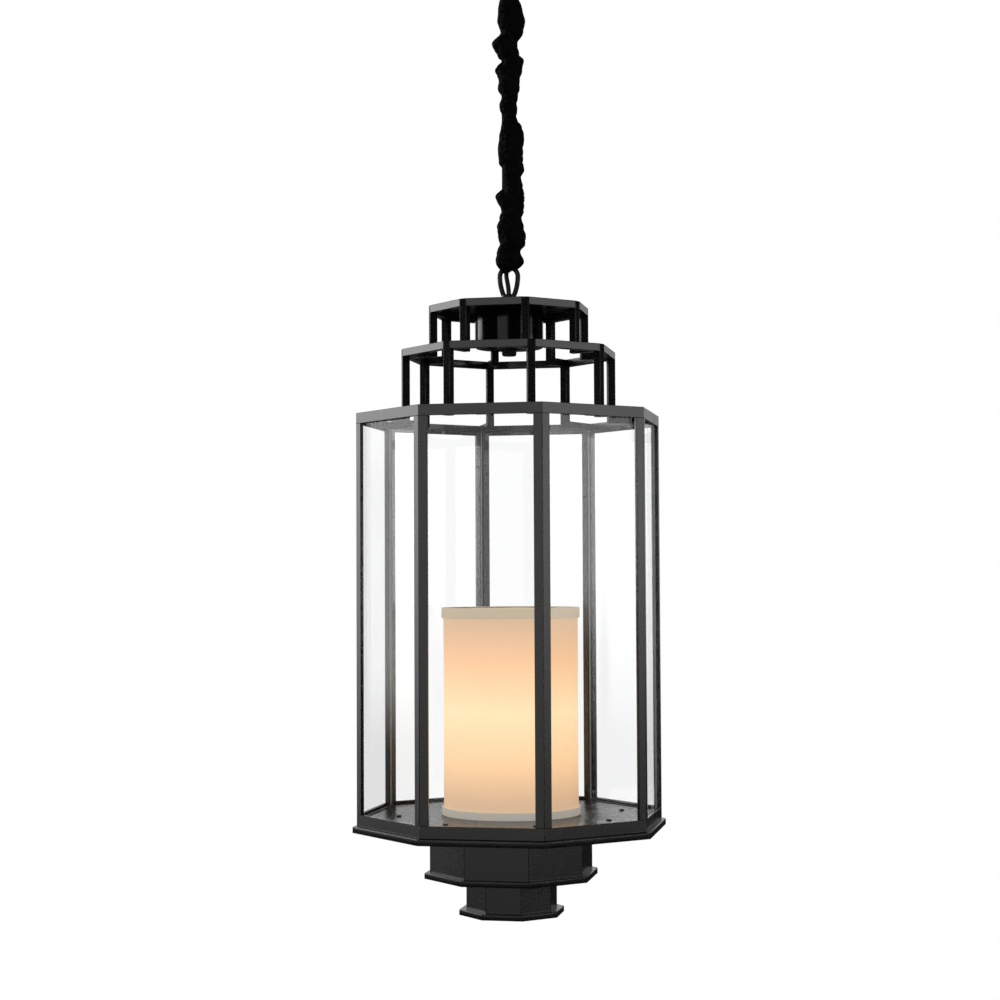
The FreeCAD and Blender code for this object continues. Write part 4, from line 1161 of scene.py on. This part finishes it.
@dataclass
class Shade:
    """The linen drum: cloth on a lining, folded trims, wire rings."""

    finishes: Finishes
    cloth: float = 0.7 * MM
    lap: float = 14.0 * MM
    seam_turn: float = 118.0

    def drum(self) -> None:
        """The cloth, a little slack between its rings, with a lapped seam."""
        low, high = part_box("shade_cloth")
        radius = high.x
        rise = high.z - low.z
        rows = 72
        seam = math.radians(self.seam_turn)

        def ripple(angle: float, reach: float, height: float) -> float:
            """How far the cloth stands off a true drum."""
            share = (height - low.z) / rise
            slack = math.sin(math.pi * min(max(share, 0.0), 1.0))
            away = noise.noise(Vector((math.cos(angle) * 1.6, math.sin(angle) * 1.6, share * 2.2)))
            turn = abs((angle - seam + math.pi) % math.tau - math.pi) * radius
            lapped = 0.45 * MM if turn < self.lap / 2 else 0.0
            return slack * (away * 0.35 * MM - 0.35 * MM) + lapped - 0.5 * MM

        profile = [(radius, low.z + 0.3 * MM + (rise - 0.6 * MM) * step / rows) for step in range(rows + 1)]
        made = Bench.place("linen_drum", Bench.lathe(profile, 288, ripple), self.finishes.shade)
        made.data.materials.append(self.finishes.lining)
        solid = made.modifiers.new("thickness", "SOLIDIFY")
        solid.thickness = self.cloth
        solid.offset = -1.0
        solid.material_offset = 1
        solid.material_offset_rim = 0
        Apply.bake(made)
        Bench.mount(made, Body.LANTERN, Slot.SHADE, "shade_cloth")
        bands = [self.band("top_trim", "shade_top_band"), self.band("bottom_trim", "shade_bottom_band")]

    def band(self, name: str, node: str) -> bpy.types.Object:
        """A folded trim, rounded where it turns over.

        Args:
            name: the piece's name.
            node: the CAD node it stands for.

        Returns:
            The trim.
        """
        low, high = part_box(node)
        outer = high.x
        inner = outer - 2.0 * MM
        fold = 0.95 * MM

        def ripple(angle: float, reach: float, height: float) -> float:
            """The slight unevenness of a hand-turned fold."""
            place = Vector((math.cos(angle) * 5.0, math.sin(angle) * 5.0, height * 60.0))
            return min(0.0, noise.noise(place) * 0.25 * MM - 0.05 * MM) if reach > outer - 1.5 * MM else 0.0

        profile = Bench.arc((outer - fold, low.z + fold), fold, -150.0, 0.0, 6)
        middle = (low.z + high.z) / 2
        profile += [(outer - 0.2 * MM, middle)]
        profile += Bench.arc((outer - fold, high.z - fold), fold, 0.0, 150.0, 6)
        profile += [(inner, high.z - 1.5 * MM), (inner, low.z + 1.5 * MM), profile[0]]
        made = Bench.place(name, Bench.lathe(profile, 240, ripple), self.finishes.band)
        return Bench.mount(made, Body.LANTERN, Slot.BAND, node)

    def build(self) -> None:
        """Make and dress the shade."""
        self.drum()
        for node in ("shade_top_ring", "shade_carrier"):
            Bench.dress(node, self.finishes.zinc)


# ------------------------------------------------------------------ studio
@dataclass(frozen=True)
class Reflector:
    """A lit panel with soft edges, seen by gloss only: its place about the axis and its brightness."""

    turn: float
    half: float
    low: float
    high: float
    level: float
    fade: float = 7.0

    def glow(self, graph: Graph) -> Wire:
        """How bright the room is towards each direction because of this panel.

        Args:
            graph: the world's graph.

        Returns:
            The brightness.
        """
        x, y, z = graph.axes(graph.node("ShaderNodeTexCoord", output="Generated"))
        turn = math.radians(self.turn)
        along = (x * math.cos(turn) + y * math.sin(turn)) / (x * x + y * y) ** 0.5
        rim = 0.5 * self.fade
        inner, outer = (math.cos(math.radians(self.half + step)) for step in (-rim, rim))
        bottom, top = (math.sin(math.radians(tilt)) for tilt in (self.low, self.high))
        soft = 0.5 * math.sin(math.radians(self.fade))
        beside = along.span(outer, inner)
        above = z.span(bottom - soft, bottom + soft)
        below = 1.0 - z.span(top - soft, top + soft)
        return beside * above * below * self.level


@dataclass
class Studio:
    """White room, soft light, pale floor and the camera."""

    top: float
    lens: float = 73.2
    away: float = 2.879
    azimuth: float = 11.5
    pitch: float = 2.263
    roll: float = 0.27
    aside: float = -0.0146
    below_top: float = 0.3879
    floor_level: float = -2.8
    white: float = 1.0
    bounce: float = 0.60
    dark: float = 0.02
    panels: Tuple[Reflector, ...] = (
        Reflector(168.5, 17.0, 4.5, 28.0, 4.8, 4.0),
        Reflector(168.5, 17.0, -3.5, 4.5, 2.5, 3.0),
        Reflector(-101.5, 17.0, -7.0, 24.0, 1.35),
        Reflector(-11.5, 17.0, -1.0, 5.0, 4.4, 3.0),
        Reflector(-11.5, 17.0, 5.0, 24.0, 1.4, 3.0),
        Reflector(101.5, 24.0, -2.0, 22.0, 0.85),
    )

    def room(self) -> None:
        """A white room that shows white, lights softly, and is dark to gloss but for the panels."""
        graph = Graph("white_room", world=True)
        gloss = sum((panel.glow(graph) for panel in self.panels), self.dark)
        glossy = graph.node("ShaderNodeLightPath", output="Is Glossy Ray")
        seen = graph.node("ShaderNodeLightPath", output="Is Camera Ray")
        inside = self.bounce + glossy * (gloss - self.bounce)
        level = inside + seen * (self.white - inside)
        bpy.context.scene.world = graph.done(
            graph.node("ShaderNodeBackground", inputs={"Color": (1.0, 1.0, 1.0), "Strength": level}))

    def softbox(self, name: str, place: Point, wide: float, power: float) -> None:
        """A soft square light that faces the lantern and that gloss doesn't see.

        Args:
            name: its name.
            place: where it stands.
            wide: its width and height.
            power: its power in watts.
        """
        data = bpy.data.lights.new(name, "AREA")
        data.shape = "SQUARE"
        data.size = wide
        data.energy = power
        made = bpy.data.objects.new(name, data)
        made.location = place
        aim = Vector((0.0, 0.0, self.top - 0.3)) - Vector(place)
        made.rotation_euler = aim.to_track_quat("-Z", "Y").to_euler()
        made.visible_camera = False
        made.visible_glossy = False
        bpy.context.scene.collection.objects.link(made)

    def floor(self) -> None:
        """A wide pale floor well below the lantern."""
        form = bmesh.new()
        bmesh.ops.create_circle(form, cap_ends=True, segments=128, radius=5.0)
        bmesh.ops.translate(form, verts=form.verts, vec=(0.0, 0.0, self.floor_level))
        graph = Graph("pale_floor")
        cloud = graph.noise(1.6, 4.0, 0.5)
        colour = graph.mix(cloud * 0.4, (0.80, 0.80, 0.79), (0.74, 0.74, 0.73))
        made = Bench.place("studio_floor", form, graph.done(graph.surface(Base_Color=colour, Roughness=0.6)))
        made.visible_glossy = False

    def camera(self) -> None:
        """The camera, a little left of the front, level with the middle of the glass, tilted slightly up."""
        data = bpy.data.cameras.new("view")
        data.lens = self.lens
        data.sensor_width = 36.0
        data.clip_end = 60.0
        made = bpy.data.objects.new("view", data)
        turn = Matrix.Rotation(math.radians(self.azimuth), 4, "Z")
        place = turn @ Vector((self.aside, -self.away, 0.0))
        made.location = (place.x, place.y, self.top - self.below_top)
        made.rotation_euler = (
            math.radians(90.0 + self.pitch), math.radians(self.roll), math.radians(self.azimuth))
        bpy.context.scene.collection.objects.link(made)
        bpy.context.scene.camera = made

    def build(self) -> None:
        """Set up room, lights, floor and camera."""
        bpy.context.scene.view_settings.view_transform = "Standard"
        self.room()
        self.softbox("left_softbox", (-2.4, -1.8, 0.0), 1.6, 8.0)
        self.softbox("right_softbox", (2.2, -2.0, -0.4), 1.4, 4.0)
        self.floor()
        self.camera()


def main() -> None:
    """Build the lantern from the ceiling down."""
    logging.basicConfig(level=logging.INFO, format="%(name)s %(message)s")
    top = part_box("top_plate")[1].z
    shade_low, shade_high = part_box("shade_cloth")
    Studio(top).build()
    finishes = Finishes(shade_low.z, shade_high.z)
    Flex(finishes, top).build()
    for assembly in (CeilingFitting(finishes), Chain(finishes), Sleeve(finishes, top), Crown(finishes),
                     GlazedBody(finishes), Base(finishes), Lamp(finishes), Shade(finishes)):
        assembly.build()
        log.info("%s built", type(assembly).__name__)


if __name__ == "__main__":
    main()
